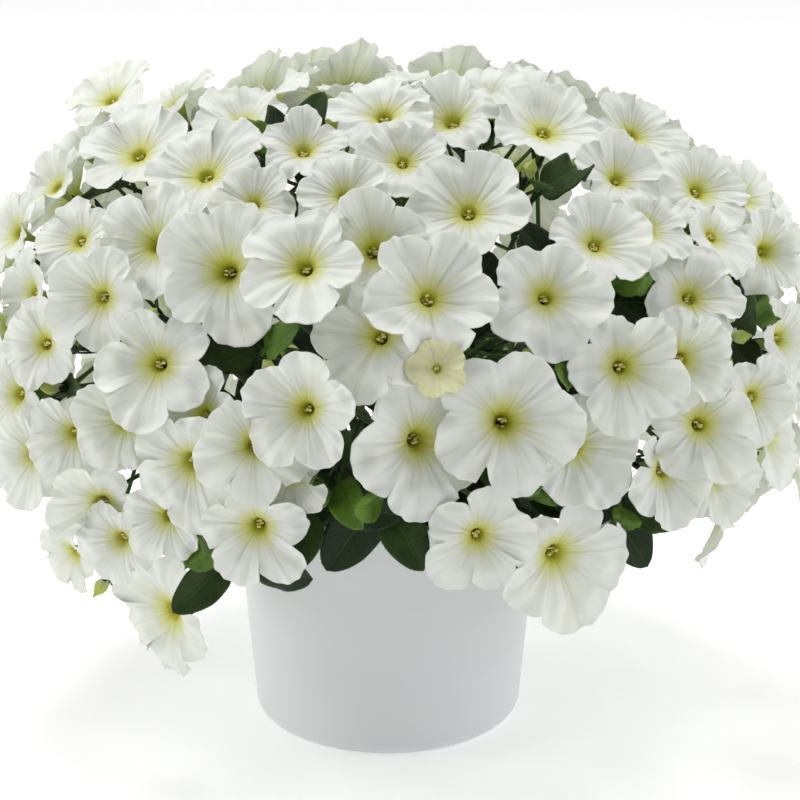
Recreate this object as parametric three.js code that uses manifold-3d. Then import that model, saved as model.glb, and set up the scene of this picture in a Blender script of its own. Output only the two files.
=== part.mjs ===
// A white petunia in full bloom, growing in a plain round pot that stands on its own base.
// Millimetres, +Z up, origin at the centre of the pot's flat base, -Y is the front.
//
// The plant is built as it grows. Leafy stems stand in holes in the soil and arch out to a rounded crown.
// Each one carries flower stalks with their calyces, leafy shoots and buds, all fused to it.
// The blooms face outwards all over the crown. The flowers of one stem are joined through their stalks.
import * as THREE from "three";
import Module from "manifold-3d";

const wasm = await Module();
wasm.setup();

// ---------------------------------------------------------------- driving dimensions
const POT = {
  height: 148,
  rimRadius: 93.5,
  footRadius: 81.5, // where the straight side meets the rounded lower edge
  edgeRadius: 9,
  wall: 2.6,
  floor: 3.5,
  insideEdge: 6, // width and height of the slope between the floor and the wall inside
  sides: 28,
};
const SOIL = {
  top: 128,
  rise: 7,
  crumb: 1.6,
  clearance: 0.3,
  stemHoleDepth: 20,
  shoulder: { reach: 0.62, rise: 0.7 }, // where the surface turns flatter, of its radius and of its rise
};
// The crown is a flattened ball: (r / radius)^power + (|z - centreZ| / up or down)^power = 1.
const CROWN = { centreZ: 216, radius: 246, up: 168, down: 112, power: 2.5 };
const BLOOM = {
  radius: 35,
  throatRadius: 6.2,
  throatDepth: 8,
  throatFloor: 24,
  tubeRadius: 7.4,
  tubeDepth: 9.8,
  length: 38, // from the rim's plane to the foot of the tube
  lobes: 5,
  // The rim: reach of a cleft and of a lobe, as shares of the radius, and how far each lies off its plane.
  cleft: { reach: 0.87, lift: -1.2 },
  lobe: { reach: [0.96, 1.03], lift: [-2.5, 2.5] },
};
const STALK = { radius: 1.5, calyxRadius: 2.9 };
const SPINE = { radius: 4.2, tipRadius: 3.8, reach: 40, spacing: 6.5, lead: 4, overrun: 2 };
const STEM = {
  count: 27,
  lowest: -0.42, // rise of the lowest stem's goal, seen from the crown's centre
  radius: 3.6,
  tipRadius: 3,
  segments: 5,
  hubDepth: 88, // from the crown's surface down to the end of a stem
  rootSpread: 42,
  archReach: 0.42, // of the way out, where the stem arches over the rim
  archOver: 52, // above the rim, at least
  archShare: 0.6, // of the hub's height, with the next value added
  archRaise: 66,
  bow: 9,
};
const LEAF = {
  length: 54,
  width: 31,
  thickness: 1.4,
  fold: 3,
  droop: 7,
  rootRadius: 1.2,
  // Half of the outline: how far along the leaf, and how far out as a share of half its width.
  heel: { along: 0.32, out: 0.86 },
  shoulder: { along: 0.66, out: 0.84 },
  turn: 137.5, // from one leaf of a shoot to the next, in degrees
};
const TWIG = { radius: 2.4, tipRadius: 2.2 };
const BUD = { length: 24, radius: 3.6, belt: 0.35 }; // its widest place, from the tip, of its length
const GAP = 0.45; // kept between pieces that would otherwise cross

// ---------------------------------------------------------------- the photograph's view
// Blooms and shoots of the front are placed by the pixel, out of 800 by 800, at which the photograph
// shows them.
const VIEW = { centre: 400, focal: 2500, distance: 1500, elevation: 18, target: [7.4, 0, 197] };

// Throat column, throat row and width across, in pixels, for each bloom that the photograph shows.
const PHOTO_BLOOMS = [
  [508, 419, 148], [434, 289, 136], [222, 268, 144], [376, 245, 130], [627, 364, 128],
  [468, 201, 124], [184, 470, 130], [252, 535, 122], [302, 409, 120], [549, 292, 122],
  [602, 236, 108], [130, 141, 118], [547, 116, 118], [305, 268, 130], [375, 330, 128],
  [430, 443, 148], [148, 240, 122], [152, 362, 128], [254, 444, 112], [200, 160, 124],
  [383, 103, 112], [707, 182, 106], [700, 285, 112], [592, 450, 120], [708, 420, 118],
  [481, 538, 108], [566, 562, 138], [622, 170, 92], [652, 222, 98], [768, 250, 92],
  [45, 178, 90], [6, 228, 92], [92, 298, 106], [36, 342, 94], [117, 420, 104],
  [68, 436, 92], [97, 507, 98], [115, 545, 88], [30, 455, 90], [404, 153, 96],
  [447, 104, 110], [112, 96, 96], [172, 97, 94], [240, 108, 96], [302, 140, 96],
  [640, 125, 96], [14, 290, 90], [8, 395, 92], [790, 336, 86], [762, 398, 92],
  [674, 474, 104], [690, 360, 112], [280, 478, 96], [188, 410, 98], [346, 188, 96],
  [722, 228, 92], [720, 480, 90], [545, 84, 100], [66, 132, 88], [438, 368, 60], [480, 90, 92],
  [160, 522, 94], [70, 236, 92], [252, 198, 84], [752, 190, 92],
];
// Blooms that hang beside the pot: place in millimetres, heading and tilt in degrees, radius.
const TRAILING_BLOOMS = [
  { at: [-132, -122, 106], heading: -48, tilt: -6, radius: 38 },
  { at: [-186, -84, 128], heading: -48, tilt: -16, radius: 23 },
];
// Column, row and depth behind the crown, in millimetres, of each leafy shoot that shows between the blooms.
const PHOTO_SHOOTS = [
  [540, 184, 26], [258, 352, 26], [566, 352, 26], [336, 478, 24], [530, 500, 18], [246, 214, 28],
  [474, 352, 26], [226, 566, 18], [46, 392, 26], [752, 322, 26], [284, 150, 26], [608, 290, 26],
  [312, 508, 18], [622, 502, 20], [385, 500, 16],
];
// Column and row of each bud.
const PHOTO_BUDS = [
  [405, 102], [535, 158], [262, 301], [280, 187], [163, 199], [50, 255], [140, 309], [37, 388],
  [579, 316], [535, 353], [741, 265], [754, 335], [752, 377], [200, 588], [92, 598],
];

// Where the numbers of the drawn things begin, so that no two kinds share their draws.
const SEED = { fillBloom: 1000, photoTip: 3000, fillShoot: 5000, stemLeaf: 7000 };

// ---------------------------------------------------------------- small helpers
const radians = THREE.MathUtils.degToRad;
const vec = (x, y, z) => new THREE.Vector3(x, y, z);
const mix = (a, b, t) => a + (b - a) * t;
const TURN = Math.PI * 2;
const GOLDEN = TURN * (1 - 1 / 1.618033988749895);

// A repeatable draw from 0 to 1 for a numbered thing and a numbered property of it.
function draw(thing, property) {
  let h = Math.imul(thing + 1, 0x9e3779b1) ^ Math.imul(property + 1, 0x85ebca6b);
  h = Math.imul(h ^ (h >>> 15), 0x2c1b3c6d);
  h = Math.imul(h ^ (h >>> 12), 0x297a2d39);
  return ((h ^ (h >>> 15)) >>> 0) / 4294967296;
}
const drawIn = (thing, property, low, high) => mix(low, high, draw(thing, property));

// Two unit vectors across an axis, the first as level as it can be.
function acrossOf(axis) {
  const level = vec(-axis.y, axis.x, 0);
  if (level.length() < 1e-6) level.set(1, 0, 0);
  level.normalize();
  return [level, axis.clone().cross(level)];
}

// The point of a circle, at an angle from its axis a towards its axis b.
const ringPoint = (centre, a, b, radius, angle) =>
  centre.clone().addScaledVector(a, radius * Math.cos(angle)).addScaledVector(b, radius * Math.sin(angle));

const shared = (a, b) => a.intersect(b).volume();
const boxesMeet = (a, b) => [0, 1, 2].every((k) => a.min[k] <= b.max[k] && b.min[k] <= a.max[k]);

// The largest body of a solid, without the loose scraps that a cut leaves.
function mainBody(solid) {
  const bodies = solid.decompose();
  return bodies.reduce((best, body) => (body.volume() > best.volume() ? body : best), bodies[0]);
}

// ---------------------------------------------------------------- crown
const heightOf = (z) => (z >= CROWN.centreZ ? CROWN.up : CROWN.down);

function crownLevel(p) {
  const r = Math.hypot(p.x, p.y) / CROWN.radius;
  const h = Math.abs(p.z - CROWN.centreZ) / heightOf(p.z);
  return Math.pow(r, CROWN.power) + Math.pow(h, CROWN.power) - 1;
}

// The way that the crown faces at a point on it: half its true normal, half straight out from its centre.
function crownFacing(p) {
  const r = Math.hypot(p.x, p.y);
  const dz = p.z - CROWN.centreZ;
  const side = Math.pow(r / CROWN.radius, CROWN.power - 1) / CROWN.radius / Math.max(r, 1e-6);
  const rise = Math.pow(Math.abs(dz) / heightOf(p.z), CROWN.power - 1) / heightOf(p.z);
  const normal = vec(p.x * side, p.y * side, Math.sign(dz) * rise).normalize();
  return normal.add(vec(p.x, p.y, dz).normalize()).normalize();
}

const HALVINGS = 40;

// The point of the crown that lies in a direction from its centre.
function crownPoint(direction) {
  const centre = vec(0, 0, CROWN.centreZ);
  let near = 0;
  let far = 2 * CROWN.radius;
  for (let step = 0; step < HALVINGS; step++) {
    const middle = (near + far) / 2;
    if (crownLevel(centre.clone().addScaledVector(direction, middle)) > 0) far = middle;
    else near = middle;
  }
  return centre.addScaledVector(direction, near);
}

// ---------------------------------------------------------------- view
const tiltOfView = radians(VIEW.elevation);
const toCamera = vec(0, -Math.cos(tiltOfView), Math.sin(tiltOfView));
const viewUp = vec(0, Math.sin(tiltOfView), Math.cos(tiltOfView));
const camera = vec(...VIEW.target).addScaledVector(toCamera, VIEW.distance);

const SEARCH = { before: 1.3, step: 1 }; // begins this many crown radii before its centre, in millimetres

// Where the sight line through a pixel first meets the crown, or passes closest to it.
function seenAt(column, row) {
  const ray = toCamera.clone().multiplyScalar(-VIEW.focal);
  ray.x += column - VIEW.centre;
  ray.addScaledVector(viewUp, VIEW.centre - row).normalize();
  const reach = VIEW.distance - SEARCH.before * CROWN.radius;
  let closest = reach;
  let lowest = Infinity;
  for (let d = reach; d < VIEW.distance + CROWN.radius; d += SEARCH.step) {
    const level = crownLevel(camera.clone().addScaledVector(ray, d));
    if (level < lowest) {
      lowest = level;
      closest = d;
    }
    if (level <= 0) break;
  }
  return camera.clone().addScaledVector(ray, closest);
}

// ---------------------------------------------------------------- where the blooms are
const BLOOM_TILT = 0.18; // how far a bloom leans away from the crown's own facing
const VIEWER_PULL = 0.55; // blooms of the front turn this much to the light, which comes from the viewer
const FILL = {
  tries: 640,
  lowest: -0.62, // rise of the lowest try, seen from the crown's centre
  size: [0.94, 1.16], // of the usual bloom's radius
  tilt: 1.4, // of the usual tilt
};
// How much a spot of the crown faces the viewer: from where on it counts as the front, and the most for a
// fill bloom, since the photograph shows all the blooms of the rest.
const FRONT_FACING = 0.1;
const FILL_FACING = 0.58;
const SHOOT_ROOM = 46; // kept free of fill blooms round a shoot that the photograph shows
const FILL_SPACING = 1.34; // of the mean radius of two neighbours
const LOWEST_BLOOM = { front: 178, back: 148 }; // height of a fill bloom's rim plane

function leant(axis, seed, amount) {
  const [a, b] = acrossOf(axis);
  const turn = draw(seed, 1) * TURN;
  const lean = amount * Math.sqrt(draw(seed, 2));
  return ringPoint(axis, a, b, lean, turn).normalize();
}

function photoBlooms() {
  return PHOTO_BLOOMS.map(([column, row, width], seed) => {
    const at = seenAt(column, row);
    const facing = crownFacing(at).addScaledVector(toCamera, VIEWER_PULL).normalize();
    const scale = at.distanceTo(camera) / VIEW.focal;
    return { at, axis: leant(facing, seed, BLOOM_TILT), radius: (width / 2) * scale, seed };
  });
}

function trailingBlooms(firstSeed) {
  return TRAILING_BLOOMS.map((bloom, k) => {
    const heading = radians(bloom.heading);
    const tilt = radians(bloom.tilt);
    const axis = vec(Math.sin(heading) * Math.cos(tilt), -Math.cos(heading) * Math.cos(tilt), Math.sin(tilt));
    return { at: vec(...bloom.at), axis, radius: bloom.radius, seed: firstSeed + k };
  });
}

// Directions spread evenly over the crown, on a golden spiral from its top to its lower edge.
function spiralDirection(index, count, lowest) {
  const up = mix(1, lowest, (index + 0.5) / count);
  const turn = index * GOLDEN;
  const level = Math.sqrt(1 - up * up);
  return vec(level * Math.cos(turn), level * Math.sin(turn), up);
}

// The rest of the crown: tries on the spiral, kept where they are clear enough of the blooms so far.
function withFill(blooms) {
  const all = [...blooms];
  const shoots = PHOTO_SHOOTS.map(([column, row]) => seenAt(column, row));
  for (let k = 0; k < FILL.tries; k++) {
    const seed = SEED.fillBloom + k;
    const at = crownPoint(spiralDirection(k, FILL.tries, FILL.lowest));
    const facing = crownFacing(at);
    const radius = BLOOM.radius * drawIn(seed, 3, ...FILL.size);
    const towards = facing.dot(toCamera);
    const inFront = towards > FILL_FACING || shoots.some((p) => p.distanceTo(at) < SHOOT_ROOM);
    const tooLow = at.z < (towards > FRONT_FACING ? LOWEST_BLOOM.front : LOWEST_BLOOM.back);
    const crowded = all.some((b) => b.at.distanceTo(at) < (FILL_SPACING * (b.radius + radius)) / 2);
    if (inFront || crowded || tooLow) continue;
    all.push({ at, axis: leant(facing, seed, FILL.tilt * BLOOM_TILT), radius, seed });
  }
  return all;
}

const front = photoBlooms();
const blooms = withFill([...front, ...trailingBlooms(front.length)]);

// ---------------------------------------------------------------- solids of rings
// Points gathered in rings, and the faces between them. Rings run anticlockwise about their axis.
class Skin {
  points = [];
  faces = [];

  ring(count, at) {
    const first = this.points.length;
    for (let k = 0; k < count; k++) this.points.push(at(k, (k / count) * TURN));
    return { count, at: (k) => first + (k % count) };
  }

  point(p) {
    return this.points.push(p) - 1;
  }

  // Joins an upper ring to a lower one of any count.
  wall(upper, lower) {
    let [i, j] = [0, 0];
    while (i < upper.count || j < lower.count) {
      const upperIsNext = (i + 1) / upper.count <= (j + 1) / lower.count;
      if (j >= lower.count || (i < upper.count && upperIsNext)) {
        this.faces.push([upper.at(i), lower.at(j), upper.at(++i)]);
      } else {
        this.faces.push([upper.at(i), lower.at(j), lower.at(++j)]);
      }
    }
  }

  // Closes a ring with a fan towards a point, seen from above it or from below.
  roof(ring, tip) {
    for (let k = 0; k < ring.count; k++) this.faces.push([ring.at(k), ring.at(k + 1), tip]);
  }

  floor(ring, tip) {
    for (let k = 0; k < ring.count; k++) this.faces.push([ring.at(k + 1), ring.at(k), tip]);
  }

  // Closes a ring flat, seen from above it or from below.
  lid(ring) {
    for (let k = 1; k + 1 < ring.count; k++) this.faces.push([ring.at(0), ring.at(k), ring.at(k + 1)]);
  }

  base(ring) {
    for (let k = 1; k + 1 < ring.count; k++) this.faces.push([ring.at(0), ring.at(k + 1), ring.at(k)]);
  }

  solid() {
    const vertProperties = new Float32Array(this.points.flatMap((p) => p.toArray()));
    const triVerts = new Uint32Array(this.faces.flat());
    return new wasm.Manifold(new wasm.Mesh({ numProp: 3, vertProperties, triVerts }));
  }
}

// Rings of a tube along a path, each square to it and turned as little as can be from the one before.
function tubeRings(skin, path, radii, sides, firstAcross) {
  let across = firstAcross;
  return path.map((p, i) => {
    const along = path[Math.min(i + 1, path.length - 1)].clone().sub(path[Math.max(i - 1, 0)]).normalize();
    across = across.clone().addScaledVector(along, -across.dot(along)).normalize();
    const [a, b] = [across, along.clone().cross(across)];
    return skin.ring(sides, (k, angle) => ringPoint(p, a, b, radii[i], angle));
  });
}

// A tube from a ring flat across its start to one flat across its end.
function tubeSolid(path, radii, sides) {
  const skin = new Skin();
  const along = path[1].clone().sub(path[0]).normalize();
  const rings = tubeRings(skin, path, radii, sides, acrossOf(along)[0]);
  rings.slice(1).forEach((ring, i) => skin.wall(ring, rings[i]));
  skin.base(rings[0]);
  skin.lid(rings.at(-1));
  return skin.solid();
}

// ---------------------------------------------------------------- stems
// Each stem grows towards a point of the crown, its goal, and ends at a hub below it.
// The spine of its flower spray stands just off that end and carries the flower stalks one above another.
const stems = Array.from({ length: STEM.count }, (_, k) => {
  const goal = crownPoint(spiralDirection(k, STEM.count, STEM.lowest));
  const hub = goal.clone().addScaledVector(crownFacing(goal), -STEM.hubDepth);
  const outwards = hub.clone().setZ(0).normalize();
  const root = outwards.clone().multiplyScalar(STEM.rootSpread * Math.sqrt((k + 0.5) / STEM.count));
  root.z = SOIL.top - SOIL.stemHoleDepth;
  const arch = hub.clone().multiplyScalar(STEM.archReach);
  arch.z = Math.max(POT.height + STEM.archOver, STEM.archShare * hub.z + STEM.archRaise);
  arch.addScaledVector(acrossOf(outwards)[0], k % 2 ? STEM.bow : -STEM.bow);
  const curve = new THREE.QuadraticBezierCurve3(root, arch, hub);
  const along = curve.getTangent(1);
  return { goal, curve, along, start: hub.clone().addScaledVector(along, GAP) };
});
const nearestStem = (p) => stems.reduce((s, t) => (t.goal.distanceTo(p) < s.goal.distanceTo(p) ? t : s));

// The blooms of a spray, those that turn away most from its spine first, since they leave it lowest.
const sprays = stems.map((stem) => {
  const turned = (bloom) => bloom.at.clone().sub(stem.start).normalize().dot(stem.along);
  const own = blooms.filter((bloom) => nearestStem(bloom.at) === stem).sort((p, q) => turned(p) - turned(q));
  const spacing = Math.min(SPINE.spacing, SPINE.reach / own.length);
  own.forEach((bloom, k) => {
    bloom.fork = stem.start.clone().addScaledVector(stem.along, SPINE.lead + spacing * k);
  });
  return { stem, blooms: own, length: SPINE.lead + spacing * (own.length - 1) + SPINE.overrun };
});

function stemSolid(stem, grow = 0) {
  const path = stem.curve.getPoints(STEM.segments);
  path[0].z -= grow;
  const radii = path.map((_, i) => mix(STEM.radius, STEM.tipRadius, i / STEM.segments) + 2 * grow);
  return tubeSolid(path, radii, 3);
}

function spineSolid({ stem, length }, grow = 0) {
  const path = [stem.start, stem.start.clone().addScaledVector(stem.along, length + grow)];
  return tubeSolid(path, [SPINE.radius + 2 * grow, SPINE.tipRadius + 2 * grow], 3);
}

// ---------------------------------------------------------------- bloom on its stalk
const RIM_POINTS = 3 * BLOOM.lobes;
const footOf = (bloom) => bloom.at.clone().addScaledVector(bloom.axis, -BLOOM.length);

// One corolla: five joined lobes round a deep throat, on a tube that narrows to the calyx and its stalk.
// With grow above 0 it is the same shape, that much fatter on every side, for keeping neighbours clear.
function bloomSolid(bloom, grow = 0) {
  const skin = new Skin();
  const [a, b] = acrossOf(bloom.axis);
  const size = bloom.radius / BLOOM.radius;
  const spin = draw(bloom.seed, 4) * TURN;
  const ring = (count, radius, z) =>
    skin.ring(count, (k, angle) => {
      const r = typeof radius === "function" ? radius(k) : radius;
      const lift = typeof z === "function" ? z(k) : z;
      return ringPoint(bloom.at, a, b, r, angle + spin).addScaledVector(bloom.axis, lift);
    });
  const { cleft, lobe } = BLOOM;
  const inCleft = (k) => k % 3 === 0;
  const share = (k) => (inCleft(k) ? cleft.reach : drawIn(bloom.seed, 10 + k, ...lobe.reach));
  const reach = (k) => bloom.radius * share(k) + grow;
  const wave = (k) => size * (inCleft(k) ? cleft.lift : drawIn(bloom.seed, 30 + k, ...lobe.lift));
  const top = ring(RIM_POINTS, reach, (k) => wave(k) + grow);
  const bottom = grow > 0 ? ring(RIM_POINTS, reach, (k) => wave(k) - grow) : top;
  const throat = ring(BLOOM.lobes, BLOOM.throatRadius - grow, grow - BLOOM.throatDepth * size);
  const collar = ring(BLOOM.lobes, BLOOM.tubeRadius + grow, -grow - BLOOM.tubeDepth * size);
  const deep = bloom.at.clone().addScaledVector(bloom.axis, grow - BLOOM.throatFloor);
  for (let j = 0; j < BLOOM.lobes; j++) {
    const [p, q, r, s] = [0, 1, 2, 3].map((k) => 3 * j + k);
    skin.faces.push([throat.at(j), top.at(p), top.at(q)], [throat.at(j), top.at(q), top.at(r)]);
    skin.faces.push([throat.at(j), top.at(r), throat.at(j + 1)], [throat.at(j + 1), top.at(r), top.at(s)]);
    skin.faces.push([collar.at(j), bottom.at(q), bottom.at(p)], [collar.at(j), bottom.at(r), bottom.at(q)]);
    skin.faces.push([collar.at(j), collar.at(j + 1), bottom.at(r)]);
    skin.faces.push([collar.at(j + 1), bottom.at(s), bottom.at(r)]);
  }
  skin.roof(throat, skin.point(deep));
  if (grow > 0) skin.wall(top, bottom);
  const radii = [STALK.radius + grow, STALK.calyxRadius + grow];
  const across = ringPoint(vec(0, 0, 0), a, b, 1, spin);
  const [start, calyx] = tubeRings(skin, [bloom.fork, footOf(bloom)], radii, 3, across);
  skin.wall(collar, calyx);
  skin.wall(calyx, start);
  skin.base(start);
  return skin.solid();
}

// ---------------------------------------------------------------- pot and soil
// A body turned about the upright axis, from its lowest point on it, round by its outside, to its last.
function turnedSolid(first, profile, last, sides, wobble = () => 0) {
  const skin = new Skin();
  const [x, y] = [vec(1, 0, 0), vec(0, 1, 0)];
  const rings = profile.map(([radius, z], i) =>
    skin.ring(sides, (k, angle) => ringPoint(vec(0, 0, z + wobble(i, k)), x, y, radius, angle)),
  );
  skin.floor(rings[0], skin.point(vec(0, 0, first)));
  rings.slice(1).forEach((ring, i) => skin.wall(ring, rings[i]));
  skin.roof(rings.at(-1), skin.point(vec(0, 0, last)));
  return skin.solid();
}

const sideRadius = (z) =>
  mix(POT.footRadius, POT.rimRadius, (z - POT.edgeRadius) / (POT.height - POT.edgeRadius));
const arc = (radius, z, size, from, to, steps) =>
  Array.from({ length: steps + 1 }, (_, k) => {
    const angle = radians(mix(from, to, k / steps));
    return [radius + size * Math.cos(angle), z + size * Math.sin(angle)];
  });

const ARC_STEPS = { edge: 4, lip: 3 };
const insideRadius = (z) => sideRadius(z) - POT.wall;

function potSolid() {
  const lip = POT.wall / 2;
  const slopeTop = POT.floor + POT.insideEdge;
  const profile = [
    ...arc(POT.footRadius - POT.edgeRadius, POT.edgeRadius, POT.edgeRadius, -90, 0, ARC_STEPS.edge),
    ...arc(POT.rimRadius - lip, POT.height - lip, lip, 0, 180, ARC_STEPS.lip),
    [insideRadius(slopeTop), slopeTop],
    [insideRadius(POT.floor) - POT.insideEdge, POT.floor],
  ];
  return turnedSolid(0, profile, POT.floor, POT.sides);
}

// The room that the pot takes, with all that is inside its rim.
function potBlock() {
  const profile = [
    [POT.footRadius + GAP, -GAP],
    [POT.rimRadius + GAP, POT.height + GAP],
  ];
  return turnedSolid(-GAP, profile, POT.height + GAP, POT.sides);
}

function soilSolid() {
  const c = SOIL.clearance;
  const inside = (z) => insideRadius(z) - 2 * c;
  const slopeTop = POT.floor + POT.insideEdge;
  const profile = [
    [insideRadius(POT.floor) - POT.insideEdge - 1, POT.floor + c],
    [inside(slopeTop), slopeTop + c],
    [inside(SOIL.top), SOIL.top],
    [SOIL.shoulder.reach * inside(SOIL.top), SOIL.top + SOIL.shoulder.rise * SOIL.rise],
  ];
  const crumb = (i, k) => (i === 3 ? drawIn(k, 8, -1, 1) * SOIL.crumb : 0);
  const whole = turnedSolid(POT.floor + c, profile, SOIL.top + SOIL.rise, POT.sides, crumb);
  return stems.reduce((soil, stem) => soil.subtract(stemSolid(stem, SOIL.clearance)), whole);
}

// ---------------------------------------------------------------- seating the blooms
// A bloom may sit a little deeper or lean over, to keep clear of its neighbours.
const AROUND = [0, 1, 2, 3, 4, 5].map((k) => [Math.cos((k / 6) * TURN), Math.sin((k / 6) * TURN)]);
const SEATS = [0, -4, 4, -8, 8, -12, 12, -16, -20, -25].flatMap((depth) =>
  [[0, 0], ...AROUND].map((side) => ({ depth, side })),
);
const SEAT_LEAN = 0.22;
const CROSSING = { own: 1, other: 3 };

function seated(bloom, { depth, side }) {
  const [a, b] = acrossOf(bloom.axis);
  const at = bloom.at.clone().addScaledVector(bloom.axis, depth);
  const axis = bloom.axis.clone().addScaledVector(a, SEAT_LEAN * side[0]);
  axis.addScaledVector(b, SEAT_LEAN * side[1]).normalize();
  return { ...bloom, axis, at };
}

// Every solid so far, with its owner, which is a stem or a spray, the room that it takes and the box of that.
const placed = [];
function place(solid, fatSolid, owner) {
  const fat = fatSolid.add(solid);
  placed.push({ solid, fat, owner, box: fat.boundingBox() });
}
place(potSolid(), potBlock(), "pot");
sprays.forEach((spray) => {
  place(spineSolid(spray), spineSolid(spray, GAP), spray);
  place(stemSolid(spray.stem), stemSolid(spray.stem, GAP), spray.stem);
});

// What a solid would cross: how much that costs, and the pieces of other owners that it must be cut clear of.
function crossingsOf(solid, owner) {
  const box = solid.boundingBox();
  const met = placed.filter((p) => boxesMeet(p.box, box) && shared(p.fat, solid) > 0);
  const others = met.filter((p) => p.owner !== owner);
  return { others, cost: CROSSING.own * (met.length - others.length) + CROSSING.other * others.length };
}

function seatBloom(bloom, spray) {
  let best = null;
  for (const choice of SEATS) {
    const tried = seated(bloom, choice);
    const solid = bloomSolid(tried);
    const found = crossingsOf(solid, spray);
    if (!best || found.cost < best.cost) best = { ...found, tried, solid };
    if (best.cost <= CROSSING.own) break; // no more than its own spine
  }
  const cut = best.others.reduce((s, p) => s.subtract(p.fat), best.solid);
  place(best.others.length ? mainBody(cut) : best.solid, bloomSolid(best.tried, GAP), spray);
}
sprays.forEach((spray) => spray.blooms.forEach((bloom) => seatBloom(bloom, spray)));

// ---------------------------------------------------------------- leaves, shoots and buds
const FAT_LEAF = 0.1; // of its width, by which a leaf grows out a millimetre

// An ovate blade, folded up along its middle and drooping to its tip, on a petiole that starts in the stem.
function leafSolid(leaf, grow = 0) {
  const skin = new Skin();
  const side = leaf.heading.clone().cross(leaf.face).normalize();
  const face = side.clone().cross(leaf.heading);
  const at = (along, across, lift) =>
    leaf.root.clone()
      .addScaledVector(leaf.heading, along * leaf.length)
      .addScaledVector(side, across * (leaf.width / 2))
      .addScaledVector(face, lift - LEAF.droop * along * along);
  const { heel, shoulder } = LEAF;
  const outline = [
    [heel.along, -heel.out, LEAF.fold],
    [shoulder.along, -shoulder.out, LEAF.fold],
    [1, 0, 0],
    [shoulder.along, shoulder.out, LEAF.fold],
    [heel.along, heel.out, LEAF.fold],
  ];
  const half = LEAF.thickness / 2 + grow;
  const rim = (lift) =>
    outline.map(([u, v, w]) => skin.point(at(u + grow / leaf.length, v * (1 + FAT_LEAF * grow), w + lift)));
  const upper = rim(grow);
  const lower = grow > 0 ? rim(-grow) : upper;
  const middle = skin.point(at(0.5, 0, half));
  const under = skin.point(at(0.5, 0, -half));
  const [top, bottom] = [1, -1].map((y) =>
    skin.point(leaf.root.clone().addScaledVector(face, y * (LEAF.rootRadius + grow))),
  );
  const above = [top, ...upper, top];
  const below = [bottom, ...lower, bottom];
  for (let k = 0; k + 1 < above.length; k++) {
    skin.faces.push([above[k + 1], above[k], middle], [below[k], below[k + 1], under]);
  }
  skin.faces.push([top, upper[0], lower[0]], [top, lower[0], bottom]);
  skin.faces.push([top, lower[4], upper[4]], [top, bottom, lower[4]]);
  for (let k = 0; k < 4 && grow > 0; k++) {
    skin.faces.push([upper[k], upper[k + 1], lower[k + 1]], [upper[k], lower[k + 1], lower[k]]);
  }
  skin.faces = skin.faces.filter((face) => new Set(face).size === 3);
  return skin.solid();
}

const LEAF_WAYS = [0, 25, -25, 50, -50, 75].flatMap((turn) => [0, 14, -14].map((pitch) => ({ turn, pitch })));
const KEPT = 0.7; // of a leaf or bud, for it to stay after it is cut clear
const HOLD = 0.5; // cubic millimetres, least of it inside its carrier

// Seats a green piece in the first way that crosses nothing but its carrier, or else in the way that crosses
// least, cut clear. It is left out if too little of it would stay on its carrier.
function seatGreen(stem, carrier, choices, shape) {
  let best = null;
  for (const choice of choices) {
    const solid = shape(choice, 0);
    const found = crossingsOf(solid, stem);
    if (!best || found.cost < best.cost) best = { ...found, choice, solid };
    if (best.cost <= CROSSING.own) break;
  }
  const whole = best.solid;
  const cut = best.others.reduce((s, p) => s.subtract(p.fat), whole);
  const solid = best.others.length ? mainBody(cut) : whole;
  if (solid.volume() < KEPT * whole.volume() || shared(solid, carrier) < HOLD) return null;
  place(solid, shape(best.choice, GAP), stem);
  return { solid, choice: best.choice };
}

// The leaf on a carrier at a point, spread out from the carrier's direction.
function leafOn(root, along, face, seed, turn, pitch, length) {
  const [a, b] = acrossOf(along);
  const heading = ringPoint(vec(0, 0, 0), a, b, Math.sin(radians(pitch)), radians(turn));
  heading.addScaledVector(along, Math.cos(radians(pitch))).normalize();
  const width = (LEAF.width / LEAF.length) * length * drawIn(seed, 5, 0.92, 1.08);
  return { root, heading, face, length, width };
}

function seatLeaf(stem, carrier, root, along, face, seed, turn, pitch, length) {
  const shape = (choice, grow) =>
    leafSolid(leafOn(root, along, face, seed, turn + choice.turn, pitch + choice.pitch, length), grow);
  return seatGreen(stem, carrier, LEAF_WAYS, shape);
}

// Where on its stem a twig or a bud's stalk may start, and the ways that it may bow or lean.
const SHOOT_WAYS = [0.9, 0.8, 0.7, 0.6, 1].flatMap((start) =>
  [[0, 0], ...AROUND].map((side) => ({ start, side })),
);
const SHOOT_BOW = 14;
const SHOOT_BEND = { under: 0.45, back: 0.2 }; // below the tip, of its distance, then back to the start
const BUD_LEAN = 0.3;

// A point of a stem's own body, between the points that its solid runs through.
function onStem(stem, t) {
  const path = stem.curve.getPoints(STEM.segments);
  const i = Math.min(Math.floor(t * STEM.segments), STEM.segments - 1);
  return path[i].clone().lerp(path[i + 1], t * STEM.segments - i);
}

function twigPath(stem, tip, facing, choice) {
  const start = onStem(stem, choice.start);
  const [a, b] = acrossOf(facing);
  const bend = tip.clone().addScaledVector(facing, -SHOOT_BEND.under * start.distanceTo(tip));
  bend.lerp(start, SHOOT_BEND.back);
  bend.addScaledVector(a, SHOOT_BOW * choice.side[0]).addScaledVector(b, SHOOT_BOW * choice.side[1]);
  return [start, bend, tip];
}

const SHOOT_LEAF = {
  first: 2, // below the twig's end
  spacing: 8,
  pitch: 30,
  morePitch: 14,
  size: 0.7,
  moreSize: 0.12,
  seedStep: 31,
};
const LEAVES = { photoShoot: 4, fillShoot: 3 };

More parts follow.
